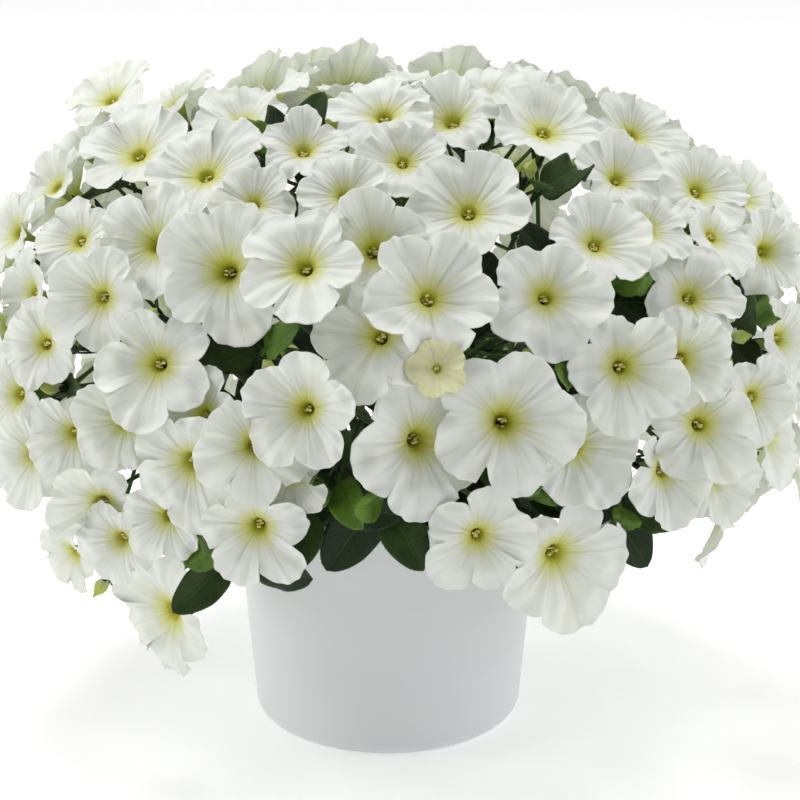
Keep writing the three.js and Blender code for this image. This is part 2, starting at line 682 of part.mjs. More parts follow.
// A leafy shoot up to the crown: a twig off the nearest stem, with a rosette of leaves along its end.
function growShoot({ tip, facing, seed }, leafCount) {
  const stem = nearestStem(tip);
  const shape = (choice, grow) => {
    const radii = [TWIG.radius, TWIG.radius, TWIG.tipRadius].map((r) => r + 2 * grow);
    return tubeSolid(twigPath(stem, tip, facing, choice), radii, 3);
  };
  const twig = seatGreen(stem, stemSolid(stem), SHOOT_WAYS, shape);
  if (!twig) return;
  const [, bend] = twigPath(stem, tip, facing, twig.choice);
  const along = tip.clone().sub(bend).normalize();
  const turn = draw(seed, 6) * 360;
  for (let k = 0; k < leafCount; k++) {
    const root = tip.clone().addScaledVector(along, -(SHOOT_LEAF.first + SHOOT_LEAF.spacing * k));
    const pitch = SHOOT_LEAF.pitch + SHOOT_LEAF.morePitch * k;
    const length = LEAF.length * (SHOOT_LEAF.size + SHOOT_LEAF.moreSize * k);
    const leafSeed = seed + SHOOT_LEAF.seedStep * k;
    seatLeaf(stem, twig.solid, root, along, along, leafSeed, turn + LEAF.turn * k, pitch, length);
  }
}

// A bud on a stalk: a slim spindle on the end of it.
function budSolid({ root, tip, heading }, grow = 0) {
  const skin = new Skin();
  const foot = tip.clone().addScaledVector(heading, -BUD.length);
  const belt = tip.clone().addScaledVector(heading, -BUD.belt * BUD.length);
  const radii = [STALK.radius, STALK.radius, BUD.radius].map((r) => r + 2 * grow);
  const rings = tubeRings(skin, [root, foot, belt], radii, 3, acrossOf(heading)[0]);
  skin.base(rings[0]);
  skin.wall(rings[1], rings[0]);
  skin.wall(rings[2], rings[1]);
  skin.roof(rings[2], skin.point(tip.clone().addScaledVector(heading, grow)));
  return skin.solid();
}

function growBud({ tip, facing }) {
  const stem = nearestStem(tip);
  const [a, b] = acrossOf(facing);
  const shape = ({ start, side }, grow) => {
    const heading = facing.clone().addScaledVector(a, BUD_LEAN * side[0]);
    heading.addScaledVector(b, BUD_LEAN * side[1]).normalize();
    return budSolid({ root: onStem(stem, start), tip, heading }, grow);
  };
  seatGreen(stem, stemSolid(stem), SHOOT_WAYS, shape);
}

const BUD_DEPTH = 4;
const SHOOT_DEPTH = 24; // of the further shoots
const photoTip = ([column, row, depth = BUD_DEPTH], index) => {
  const at = seenAt(column, row);
  const facing = crownFacing(at);
  return { tip: at.addScaledVector(toCamera, -depth), facing, seed: SEED.photoTip + 7 * index };
};
PHOTO_BUDS.forEach((place, k) => growBud(photoTip(place, k)));
const photoShoots = PHOTO_SHOOTS.map((place, k) => photoTip(place, k));
photoShoots.forEach((shoot) => growShoot(shoot, LEAVES.photoShoot));

// Further shoots, out of the photograph's sight, in the widest gaps between the blooms.
const GAP_TRIES = 240;
const WIDE_GAP = 34;
const SHOOT_SPACING = 134;
const SHOOT_LOWEST = -0.8; // rise of the lowest try, seen from the crown's centre
const SHOOT_FACING = 0.4; // the most that a shoot's spot may face the viewer
const POT_CLEAR = 36; // out from the rim, with no shoots under the crown
const fillShoots = [];
for (let k = 0; k < GAP_TRIES; k++) {
  const at = crownPoint(spiralDirection(k, GAP_TRIES, SHOOT_LOWEST));
  const facing = crownFacing(at);
  const tip = at.clone().addScaledVector(facing, -SHOOT_DEPTH);
  const clear = blooms.every((bloom) => bloom.at.distanceTo(at) > WIDE_GAP);
  const apart = [...photoShoots, ...fillShoots].every((s) => s.tip.distanceTo(tip) > SHOOT_SPACING);
  const byPot = Math.hypot(at.x, at.y) < POT.rimRadius + POT_CLEAR && at.z < CROWN.centreZ;
  if (!clear || !apart || byPot || facing.dot(toCamera) > SHOOT_FACING) continue;
  fillShoots.push({ tip, facing, seed: SEED.fillShoot + k });
}
fillShoots.forEach((shoot) => growShoot(shoot, LEAVES.fillShoot));

// Leaves on the stems themselves: where along them, and how far they spread out.
const STEM_LEAF = { places: [0.84, 0.64], pitch: 62, anyTurn: 120, size: [1.05, 1.3] };
sprays.forEach(({ stem }, s) => {
  STEM_LEAF.places.slice(s % 2).forEach((t, k) => {
    const along = stem.curve.getTangent(t);
    const face = crownFacing(stem.goal).add(vec(0, 0, 1)).normalize();
    const seed = SEED.stemLeaf + 10 * s + k;
    const turn = LEAF.turn * k + draw(seed, 6) * STEM_LEAF.anyTurn;
    const length = LEAF.length * drawIn(seed, 7, ...STEM_LEAF.size);
    seatLeaf(stem, stemSolid(stem), onStem(stem, t), along, face, seed, turn, STEM_LEAF.pitch, length);
  });
});

// ---------------------------------------------------------------- the part
const part = new THREE.Group();
const look = (color, roughness) => new THREE.MeshStandardMaterial({ color, roughness, metalness: 0 });
const LOOKS = {
  pot: () => look(0xdfe2e3, 0.4),
  soil: () => look(0x3b2a1e, 0.95),
  foliage: () => look(0x2f5220, 0.6),
  petals: () => look(0xf3f3ee, 0.6),
};

function add(name, solid, material) {
  const mesh = solid.getMesh();
  const geometry = new THREE.BufferGeometry();
  geometry.setAttribute("position", new THREE.BufferAttribute(mesh.vertProperties, 3));
  geometry.setIndex(new THREE.BufferAttribute(mesh.triVerts, 1));
  const made = new THREE.Mesh(geometry, material);
  made.name = name;
  part.add(made);
}

// The pieces of one owner, fused. A hollow that they would seal is filled.
const allOf = (owner) =>
  mainBody(wasm.Manifold.union(placed.filter((p) => p.owner === owner).map((p) => p.solid)));
add("pot", potSolid(), LOOKS.pot());
add("soil", soilSolid(), LOOKS.soil());
sprays.forEach((spray, k) => {
  const number = String(k + 1).padStart(2, "0");
  add("leafy_stem_" + number, allOf(spray.stem), LOOKS.foliage());
  add("bloom_spray_" + number, allOf(spray), LOOKS.petals());
});

export default part;
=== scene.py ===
"""The looks of a white petunia in full bloom, in a plain round pot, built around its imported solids.

The plant grows here by the same rule as its solids: the same crown, stems, sprays, blooms, shoots and buds.
Where a solid could have been seated in more than one way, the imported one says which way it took.
Each solid is then replaced by finer pieces that keep its place, reach and pose.
"""
import math
from types import SimpleNamespace as Record

import bpy
import numpy as np
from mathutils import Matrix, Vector, kdtree


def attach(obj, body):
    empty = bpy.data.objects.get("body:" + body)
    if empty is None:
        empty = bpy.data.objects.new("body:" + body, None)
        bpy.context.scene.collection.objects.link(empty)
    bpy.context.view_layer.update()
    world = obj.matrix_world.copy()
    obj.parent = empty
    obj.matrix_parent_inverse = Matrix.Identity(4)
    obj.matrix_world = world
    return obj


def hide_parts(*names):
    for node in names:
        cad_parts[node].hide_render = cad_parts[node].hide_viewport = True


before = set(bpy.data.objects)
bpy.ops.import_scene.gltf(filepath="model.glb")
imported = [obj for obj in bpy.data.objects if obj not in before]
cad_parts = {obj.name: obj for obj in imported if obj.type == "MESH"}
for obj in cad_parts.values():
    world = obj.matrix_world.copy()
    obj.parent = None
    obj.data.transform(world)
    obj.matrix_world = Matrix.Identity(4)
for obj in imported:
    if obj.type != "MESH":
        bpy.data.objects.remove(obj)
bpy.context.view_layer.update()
MM = 0.001
TURN = 2 * math.pi

# ---------------------------------------------------------------- driving dimensions, in millimetres
POT = Record(height=148, rim=93.5, foot=81.5, edge=9, wall=2.6, floor=3.5, slope=6, sides=160)
SOIL = Record(top=128, rise=7, clearance=0.3, hole=20)
CROWN = Record(centre=216, radius=246, up=168, down=112, power=2.5)
BLOOM = Record(radius=35, throat=6.2, throat_depth=8, floor=24, tube=7.4, tube_depth=9.8, length=38)
LOBES = 5
SPINE = Record(reach=40, spacing=6.5, lead=4, overrun=2)
STEM = Record(
    count=27, lowest=-0.42, segments=5, hub=88, spread=42, arch=0.42, over=52, share=0.6, raised=66, bow=9)
LEAF = Record(length=54, width=31, fold=3, droop=7, thickness=1.4, heel=(0.32, 0.86), shoulder=(0.66, 0.84))
LEAF_TURN = 137.5  # degrees from one leaf of a shoot to the next
TWIG = Record(radius=2.4, tip=2.2)
BUD = Record(length=24, radius=3.6, stalk=1.5, belt=0.35, depth=4, lean=0.3)
GAP = 0.45
SEED = Record(fill_bloom=1000, photo_tip=3000, fill_shoot=5000, stem_leaf=7000)

# ---------------------------------------------------------------- the photograph's view
VIEW = Record(centre=400, focal=2500, distance=1500, elevation=18, target=(7.4, 0, 197))

# Throat column, throat row and width across, in pixels out of 800, for each bloom that the photograph shows.
PHOTO_BLOOMS = [
    (508, 419, 148), (434, 289, 136), (222, 268, 144), (376, 245, 130), (627, 364, 128),
    (468, 201, 124), (184, 470, 130), (252, 535, 122), (302, 409, 120), (549, 292, 122),
    (602, 236, 108), (130, 141, 118), (547, 116, 118), (305, 268, 130), (375, 330, 128),
    (430, 443, 148), (148, 240, 122), (152, 362, 128), (254, 444, 112), (200, 160, 124),
    (383, 103, 112), (707, 182, 106), (700, 285, 112), (592, 450, 120), (708, 420, 118),
    (481, 538, 108), (566, 562, 138), (622, 170, 92), (652, 222, 98), (768, 250, 92),
    (45, 178, 90), (6, 228, 92), (92, 298, 106), (36, 342, 94), (117, 420, 104),
    (68, 436, 92), (97, 507, 98), (115, 545, 88), (30, 455, 90), (404, 153, 96),
    (447, 104, 110), (112, 96, 96), (172, 97, 94), (240, 108, 96), (302, 140, 96),
    (640, 125, 96), (14, 290, 90), (8, 395, 92), (790, 336, 86), (762, 398, 92),
    (674, 474, 104), (690, 360, 112), (280, 478, 96), (188, 410, 98), (346, 188, 96),
    (722, 228, 92), (720, 480, 90), (545, 84, 100), (66, 132, 88), (438, 368, 60), (480, 90, 92),
    (160, 522, 94), (70, 236, 92), (252, 198, 84), (752, 190, 92),
]
HALF_OPEN = 59  # which of them is the small cream bloom that is still half open
# Blooms over the pot's side: place in millimetres, heading and tilt in degrees, radius.
TRAILING_BLOOMS = [((-132, -122, 106), -48, -6, 38), ((-186, -84, 128), -48, -16, 23)]
# Column, row and depth behind the crown, in millimetres, of each leafy shoot that shows between the blooms.
PHOTO_SHOOTS = [
    (540, 184, 26), (258, 352, 26), (566, 352, 26), (336, 478, 24), (530, 500, 18), (246, 214, 28),
    (474, 352, 26), (226, 566, 18), (46, 392, 26), (752, 322, 26), (284, 150, 26), (608, 290, 26),
    (312, 508, 18), (622, 502, 20), (385, 500, 16),
]
# Column and row of each bud.
PHOTO_BUDS = [
    (405, 102), (535, 158), (262, 301), (280, 187), (163, 199), (50, 255), (140, 309), (37, 388),
    (579, 316), (535, 353), (741, 265), (754, 335), (752, 377), (200, 588), (92, 598),
]


# ---------------------------------------------------------------- small helpers
def vec(*xyz):
    return np.array(xyz, float)


def unit(v):
    return v / np.linalg.norm(v)


def units(rows):
    return rows / np.linalg.norm(rows, axis=1, keepdims=True)


def distance(p, q):
    return np.linalg.norm(p - q)


def mix(a, b, t):
    return a + (b - a) * t


def ease(value, start=0.0, span=1.0):
    """Eases from 0 to 1 as a value goes from start over a span."""
    t = np.clip((value - start) / span, 0, 1)
    return t * t * (3 - 2 * t)


def draw(thing, prop):
    """A repeatable draw from 0 to 1 for a numbered thing and a numbered property of it."""
    h = ((thing + 1) * 0x9E3779B1 ^ (prop + 1) * 0x85EBCA6B) & 0xFFFFFFFF
    h = (h ^ h >> 15) * 0x2C1B3C6D & 0xFFFFFFFF
    h = (h ^ h >> 12) * 0x297A2D39 & 0xFFFFFFFF
    return (h ^ h >> 15) / 4294967296


def draw_in(thing, prop, low, high):
    return mix(low, high, draw(thing, prop))


def angles(count):
    """Evenly spread round a circle."""
    return np.arange(count) / count * TURN


def across_of(axis):
    """Two unit vectors across an axis, the first as level as it can be."""
    level = vec(-axis[1], axis[0], 0)
    level = unit(level) if np.linalg.norm(level) >= 1e-6 else vec(1, 0, 0)
    return level, np.cross(axis, level)


def ring_point(centre, a, b, radius, angle):
    return centre + a * radius * math.cos(angle) + b * radius * math.sin(angle)


def heading_of(heading, tilt):
    h, t = math.radians(heading), math.radians(tilt)
    return vec(math.sin(h) * math.cos(t), -math.cos(h) * math.cos(t), math.sin(t))


def changed(record, **values):
    return Record(**{**vars(record), **values})


# ---------------------------------------------------------------- crown
CROWN_CENTRE = vec(0, 0, CROWN.centre)
HALVINGS = 40
GOLDEN = TURN * (1 - 1 / 1.618033988749895)


def crown_level(p):
    """Below 0 inside the crown's flattened ball, above 0 outside it."""
    dz = p[..., 2] - CROWN.centre
    r = np.hypot(p[..., 0], p[..., 1]) / CROWN.radius
    h = np.abs(dz) / np.where(dz >= 0, CROWN.up, CROWN.down)
    return r ** CROWN.power + h ** CROWN.power - 1


def crown_facing(p):
    """The way that the crown faces at a point on it: half its true normal, half straight out."""
    r, dz = math.hypot(p[0], p[1]), p[2] - CROWN.centre
    height = CROWN.up if dz >= 0 else CROWN.down
    side = (r / CROWN.radius) ** (CROWN.power - 1) / CROWN.radius / max(r, 1e-6)
    rise = (abs(dz) / height) ** (CROWN.power - 1) / height
    normal = unit(vec(p[0] * side, p[1] * side, math.copysign(rise, dz)))
    return unit(normal + unit(vec(p[0], p[1], dz)))


def crown_point(direction):
    """The point of the crown that lies in a direction from its centre."""
    near, far = 0.0, 2.0 * CROWN.radius
    for _ in range(HALVINGS):
        middle = (near + far) / 2
        if crown_level(CROWN_CENTRE + direction * middle) > 0:
            far = middle
        else:
            near = middle
    return CROWN_CENTRE + direction * near


def spiral_direction(index, count, lowest):
    """Directions spread evenly over the crown, on a golden spiral from its top to its lower edge."""
    up = mix(1, lowest, (index + 0.5) / count)
    level = math.sqrt(1 - up * up)
    return vec(level * math.cos(index * GOLDEN), level * math.sin(index * GOLDEN), up)


# ---------------------------------------------------------------- view
TILT = math.radians(VIEW.elevation)
TO_CAMERA = vec(0, -math.cos(TILT), math.sin(TILT))
VIEW_UP = vec(0, math.sin(TILT), math.cos(TILT))
CAMERA = vec(*VIEW.target) + TO_CAMERA * VIEW.distance
SEARCH_BEFORE = 1.3  # crown radii before its centre, where the search along a sight line begins


def seen_at(column, row):
    """Where the sight line through a pixel first meets the crown, or passes closest to it."""
    ray = TO_CAMERA * -VIEW.focal + vec(column - VIEW.centre, 0, 0) + VIEW_UP * (VIEW.centre - row)
    steps = np.arange(VIEW.distance - SEARCH_BEFORE * CROWN.radius, VIEW.distance + CROWN.radius, 1.0)
    levels = crown_level(CAMERA + unit(ray) * steps[:, None])
    inside = np.nonzero(levels <= 0)[0]
    found = inside[0] if len(inside) else np.argmin(levels)
    return CAMERA + unit(ray) * steps[found]


# ---------------------------------------------------------------- where the blooms are
BLOOM_TILT = 0.18  # how far a bloom leans away from the crown's own facing
VIEWER_PULL = 0.55  # how much the blooms of the front turn to the viewer
# The rest of the crown: how much of it may face the viewer, and the room round a shoot and between blooms.
FILL = Record(tries=640, lowest=-0.62, size=(0.94, 1.16), tilt=1.4, facing=0.58, shoot_room=46, spacing=1.34)
FRONT_FACING = 0.1  # how much a spot of the crown faces the viewer, from where on it counts as the front
LOWEST_BLOOM = Record(front=178, back=148)


def leant(axis, seed, amount):
    a, b = across_of(axis)
    return unit(ring_point(axis, a, b, amount * math.sqrt(draw(seed, 2)), draw(seed, 1) * TURN))


def photo_blooms():
    for seed, (column, row, width) in enumerate(PHOTO_BLOOMS):
        at = seen_at(column, row)
        facing = unit(crown_facing(at) + TO_CAMERA * VIEWER_PULL)
        radius = width / 2 * distance(at, CAMERA) / VIEW.focal
        yield Record(at=at, axis=leant(facing, seed, BLOOM_TILT), radius=radius, seed=seed)


def trailing_blooms():
    for seed, (place, heading, tilt, radius) in enumerate(TRAILING_BLOOMS, len(PHOTO_BLOOMS)):
        yield Record(at=vec(*place), axis=heading_of(heading, tilt), radius=radius, seed=seed)


def all_blooms():
    """The photograph's blooms, and the rest of the crown: tries on the spiral, kept where there is room."""
    found = [*photo_blooms(), *trailing_blooms()]
    shoots = [seen_at(column, row) for column, row, _ in PHOTO_SHOOTS]
    for k in range(FILL.tries):
        seed = SEED.fill_bloom + k
        at = crown_point(spiral_direction(k, FILL.tries, FILL.lowest))
        facing = crown_facing(at)
        radius = BLOOM.radius * draw_in(seed, 3, *FILL.size)
        near = [distance(other.at, at) < FILL.spacing * (other.radius + radius) / 2 for other in found]
        near += [distance(shoot, at) < FILL.shoot_room for shoot in shoots]
        towards = facing @ TO_CAMERA
        low = at[2] < (LOWEST_BLOOM.front if towards > FRONT_FACING else LOWEST_BLOOM.back)
        if towards <= FILL.facing and not low and not any(near):
            axis = leant(facing, seed, FILL.tilt * BLOOM_TILT)
            found.append(Record(at=at, axis=axis, radius=radius, seed=seed))
    return found


# ---------------------------------------------------------------- stems and sprays
def bezier(points, t):
    p, q, r = points
    t = np.asarray(t, float)[..., None]
    return (1 - t) ** 2 * p + 2 * t * (1 - t) * q + t * t * r


def tangent(points, t):
    p, q, r = points
    return unit(2 * (1 - t) * (q - p) + 2 * t * (r - q))


def make_stem(k):
    goal = crown_point(spiral_direction(k, STEM.count, STEM.lowest))
    hub = goal - crown_facing(goal) * STEM.hub
    outwards = unit(vec(hub[0], hub[1], 0))
    root = outwards * STEM.spread * math.sqrt((k + 0.5) / STEM.count)
    root[2] = SOIL.top - SOIL.hole
    arch = hub * STEM.arch
    arch[2] = max(POT.height + STEM.over, STEM.share * hub[2] + STEM.raised)
    arch = arch + across_of(outwards)[0] * (STEM.bow if k % 2 else -STEM.bow)
    curve = (root, arch, hub)
    along = tangent(curve, 1)
    start = hub + along * GAP
    growth = {"twigs": [], "leaves": [], "buds": []}
    return Record(name=f"{k + 1:02d}", goal=goal, curve=curve, along=along, start=start, **growth)


def nearest_stem(p):
    return min(stems, key=lambda stem: distance(stem.goal, p))


stems = [make_stem(k) for k in range(STEM.count)]
blooms = all_blooms()
for stem in stems:
    stem.blooms = [bloom for bloom in blooms if nearest_stem(bloom.at) is stem]
    stem.blooms.sort(key=lambda bloom: unit(bloom.at - stem.start) @ stem.along)
    spacing = min(SPINE.spacing, SPINE.reach / len(stem.blooms))
    for k, bloom in enumerate(stem.blooms):
        bloom.fork = stem.start + stem.along * (SPINE.lead + spacing * k)
    stem.spine = SPINE.lead + spacing * (len(stem.blooms) - 1) + SPINE.overrun


# ---------------------------------------------------------------- which way each solid was seated
NEAR = 0.12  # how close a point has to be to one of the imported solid's, to count as the same
AROUND = [(0.0, 0.0)] + [(math.cos(k / 6 * TURN), math.sin(k / 6 * TURN)) for k in range(6)]
SEATS = [(depth, side) for depth in (0, -4, 4, -8, 8, -12, 12, -16, -20, -25) for side in AROUND]
SEAT_LEAN = 0.22
LEAF_WAYS = [(turn, pitch) for turn in (0, 25, -25, 50, -50, 75) for pitch in (0, 14, -14)]
SHOOT_WAYS = [(start, side) for start in (0.9, 0.8, 0.7, 0.6, 1) for side in AROUND]
SHOOT_BEND = Record(under=0.45, back=0.2, bow=14)
SHOOT_LEAF = Record(first=2, spacing=8, pitch=30, more_pitch=14, size=0.7, more_size=0.12, seed_step=31)
LEAVES = Record(photo_shoot=4, fill_shoot=3)
FILL_SHOOT = Record(tries=240, lowest=-0.8, depth=24, gap=34, spacing=134, pot_clear=36, facing=0.4)
STEM_LEAF = Record(places=(0.84, 0.64), pitch=62, any_turn=120, size=(1.05, 1.3), young=0.15)


def packed_points(node):
    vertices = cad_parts[node].data.vertices
    tree = kdtree.KDTree(len(vertices))
    for i, vertex in enumerate(vertices):
        tree.insert(vertex.co, i)
    tree.balance()
    return tree


def best_way(tree, ways, marks_of, least=2):
    """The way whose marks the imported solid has, or None if the solid has no such piece."""
    counts = [sum(tree.find(Vector(p * MM))[2] < NEAR * MM for p in marks_of(way)) for way in ways]
    best = max(counts)
    return ways[counts.index(best)] if best >= least else None


def leaning(axis, a, b, amount, side):
    return axis + a * amount * side[0] + b * amount * side[1]


def seated(bloom, way):
    depth, side = way
    axis = unit(leaning(bloom.axis, *across_of(bloom.axis), SEAT_LEAN, side))
    return changed(bloom, axis=axis, at=bloom.at + bloom.axis * depth)


def bloom_marks(bloom):
    a, b = across_of(bloom.axis)
    size, spin = bloom.radius / BLOOM.radius, draw(bloom.seed, 4) * TURN
    marks = [bloom.at - bloom.axis * BLOOM.floor]
    for radius, depth in ((BLOOM.throat, BLOOM.throat_depth), (BLOOM.tube, BLOOM.tube_depth)):
        centre = bloom.at - bloom.axis * depth * size
        marks += [ring_point(centre, a, b, radius, spin + k / LOBES * TURN) for k in range(LOBES)]
    return marks


def tube_rings(path, radii, sides, across):
    """Rings of a tube along a path, each turned as little as can be from the one before."""
    path = np.asarray(path)
    rings = []
    for i, p in enumerate(path):
        along = unit(path[min(i + 1, len(path) - 1)] - path[max(i - 1, 0)])
        across = unit(across - along * (across @ along))
        other = np.cross(along, across)
        spokes = across * np.cos(angles(sides))[:, None] + other * np.sin(angles(sides))[:, None]
        rings.append(p + spokes * radii[i])
    return np.array(rings)


def tube_marks(path, radii, way):
    """The corners of a three-sided tube, past those at its root."""
    return tube_rings(path, radii, 3, across_of(way)[0])[1:].reshape(-1, 3)


def twig_marks(path):
    return tube_marks(path, (TWIG.radius, TWIG.radius, TWIG.tip), unit(path[1] - path[0]))


def bud_marks(bud):
    return tube_marks((bud.root, bud.foot, bud.belt), (BUD.stalk, BUD.stalk, BUD.radius), bud.heading)


def leaf_frame(leaf):
    side = unit(np.cross(leaf.heading, leaf.face))
    return side, np.cross(side, leaf.heading)


def leaf_marks(leaf):
    side, face = leaf_frame(leaf)
    places = [(u, v * way, LEAF.fold) for u, v in (LEAF.heel, LEAF.shoulder) for way in (-1, 1)]
    places += [(1, 0, 0), (0.5, 0, LEAF.thickness / 2), (0.5, 0, -LEAF.thickness / 2)]
    marks = [(u * leaf.length, v * leaf.width / 2, w - LEAF.droop * u * u) for u, v, w in places]
    return [leaf.root + leaf.heading * x + side * y + face * z for x, y, z in marks]


def leaf_on(root, along, face, seed, turn, pitch, length):
    a, b = across_of(along)
    pitch, turn = math.radians(pitch), math.radians(turn)
    heading = unit(ring_point(along * math.cos(pitch), a, b, math.sin(pitch), turn))
    width = LEAF.width / LEAF.length * length * draw_in(seed, 5, 0.92, 1.08)
    return Record(root=root, heading=heading, face=face, length=length, width=width, seed=seed)


def seat_leaf(stem, root, along, face, seed, turn, pitch, length, young):
    ways = [leaf_on(root, along, face, seed, turn + way[0], pitch + way[1], length) for way in LEAF_WAYS]
    leaf = best_way(stem.tree, ways, leaf_marks)
    if leaf:
        stem.leaves.append(changed(leaf, young=young))


def on_stem(stem, t):
    """A point of a stem's own body, between the points that its solid runs through."""
    path = bezier(stem.curve, np.arange(STEM.segments + 1) / STEM.segments)
    i = min(int(t * STEM.segments), STEM.segments - 1)
    return mix(path[i], path[i + 1], t * STEM.segments - i)


def twig_path(stem, tip, facing, way):
    start = on_stem(stem, way[0])
    bend = mix(tip - facing * SHOOT_BEND.under * distance(start, tip), start, SHOOT_BEND.back)
    return [start, leaning(bend, *across_of(facing), SHOOT_BEND.bow, way[1]), tip]


def grow_shoot(tip, facing, seed, leaf_count):
    """A twig off the nearest stem, with a rosette of leaves along its end."""
    stem = nearest_stem(tip)
    path = best_way(stem.tree, [twig_path(stem, tip, facing, way) for way in SHOOT_WAYS], twig_marks)
    if not path:
        return
    stem.twigs.append(path)
    along = unit(tip - path[1])
    first_turn = draw(seed, 6) * 360
    for k in range(leaf_count):
        root = tip - along * (SHOOT_LEAF.first + SHOOT_LEAF.spacing * k)
        turn = first_turn + LEAF_TURN * k
        pitch = SHOOT_LEAF.pitch + SHOOT_LEAF.more_pitch * k
        length = LEAF.length * (SHOOT_LEAF.size + SHOOT_LEAF.more_size * k)
        leaf_seed = seed + SHOOT_LEAF.seed_step * k
        seat_leaf(stem, root, along, along, leaf_seed, turn, pitch, length, 1 - k / leaf_count)


def grow_bud(tip, facing, seed):
    def bud_on(way):
        heading = unit(leaning(facing, *across_of(facing), BUD.lean, way[1]))
        foot, belt = tip - heading * BUD.length, tip - heading * BUD.belt * BUD.length
        return Record(root=on_stem(stem, way[0]), foot=foot, belt=belt, heading=heading, seed=seed)

    stem = nearest_stem(tip)
    bud = best_way(stem.tree, [bud_on(way) for way in SHOOT_WAYS], bud_marks)
    if bud:
        stem.buds.append(bud)


def fill_shoots(photo_tips):
    """Shoots out of the photograph's sight, in the widest gaps between the blooms."""
    tips = list(photo_tips)
    for k in range(FILL_SHOOT.tries):
        at = crown_point(spiral_direction(k, FILL_SHOOT.tries, FILL_SHOOT.lowest))
        facing = crown_facing(at)
        tip = at - facing * FILL_SHOOT.depth
        clear = all(distance(bloom.at, at) > FILL_SHOOT.gap for bloom in blooms)
        apart = all(distance(other, tip) > FILL_SHOOT.spacing for other in tips)
        by_pot = math.hypot(at[0], at[1]) < POT.rim + FILL_SHOOT.pot_clear and at[2] < CROWN.centre
        if clear and apart and not by_pot and facing @ TO_CAMERA <= FILL_SHOOT.facing:
            tips.append(tip)
            yield tip, facing, SEED.fill_shoot + k


def grow_greens():
    """Buds, shoots and leaves, in the order in which the solids were seated."""
    for k, pixel in enumerate(PHOTO_BUDS):
        at = seen_at(*pixel)
        grow_bud(at - TO_CAMERA * BUD.depth, crown_facing(at), SEED.photo_tip + 7 * k)
    photo_tips = []
    for k, (column, row, depth) in enumerate(PHOTO_SHOOTS):
        at = seen_at(column, row)
        photo_tips.append(at - TO_CAMERA * depth)
        grow_shoot(photo_tips[-1], crown_facing(at), SEED.photo_tip + 7 * k, LEAVES.photo_shoot)
    for tip, facing, seed in list(fill_shoots(photo_tips)):
        grow_shoot(tip, facing, seed, LEAVES.fill_shoot)
    for s, stem in enumerate(stems):
        for k, t in enumerate(STEM_LEAF.places[s % 2:]):
            face = unit(crown_facing(stem.goal) + vec(0, 0, 1))
            seed = SEED.stem_leaf + 10 * s + k
            turn = LEAF_TURN * k + draw(seed, 6) * STEM_LEAF.any_turn
            length = LEAF.length * draw_in(seed, 7, *STEM_LEAF.size)
            place = on_stem(stem, t), tangent(stem.curve, t), face
            seat_leaf(stem, *place, seed, turn, STEM_LEAF.pitch, length, STEM_LEAF.young)


for stem in stems:
    spray = packed_points("bloom_spray_" + stem.name)
    stem.tree = packed_points("leafy_stem_" + stem.name)
    ways = [[seated(bloom, way) for way in SEATS] for bloom in stem.blooms]
    stem.blooms = [best_way(spray, seats, bloom_marks, 0) for seats in ways]
grow_greens()


# ---------------------------------------------------------------- pieces made of rings
HAIR = Record(per_mm=1.5, per_leaf=90, length=0.9, radius=0.075, sunk=0.15, size=(0.5, 1.2))


def new_object(name, data):
    made = bpy.data.objects.new(name, data)
    bpy.context.scene.collection.objects.link(made)
    return made


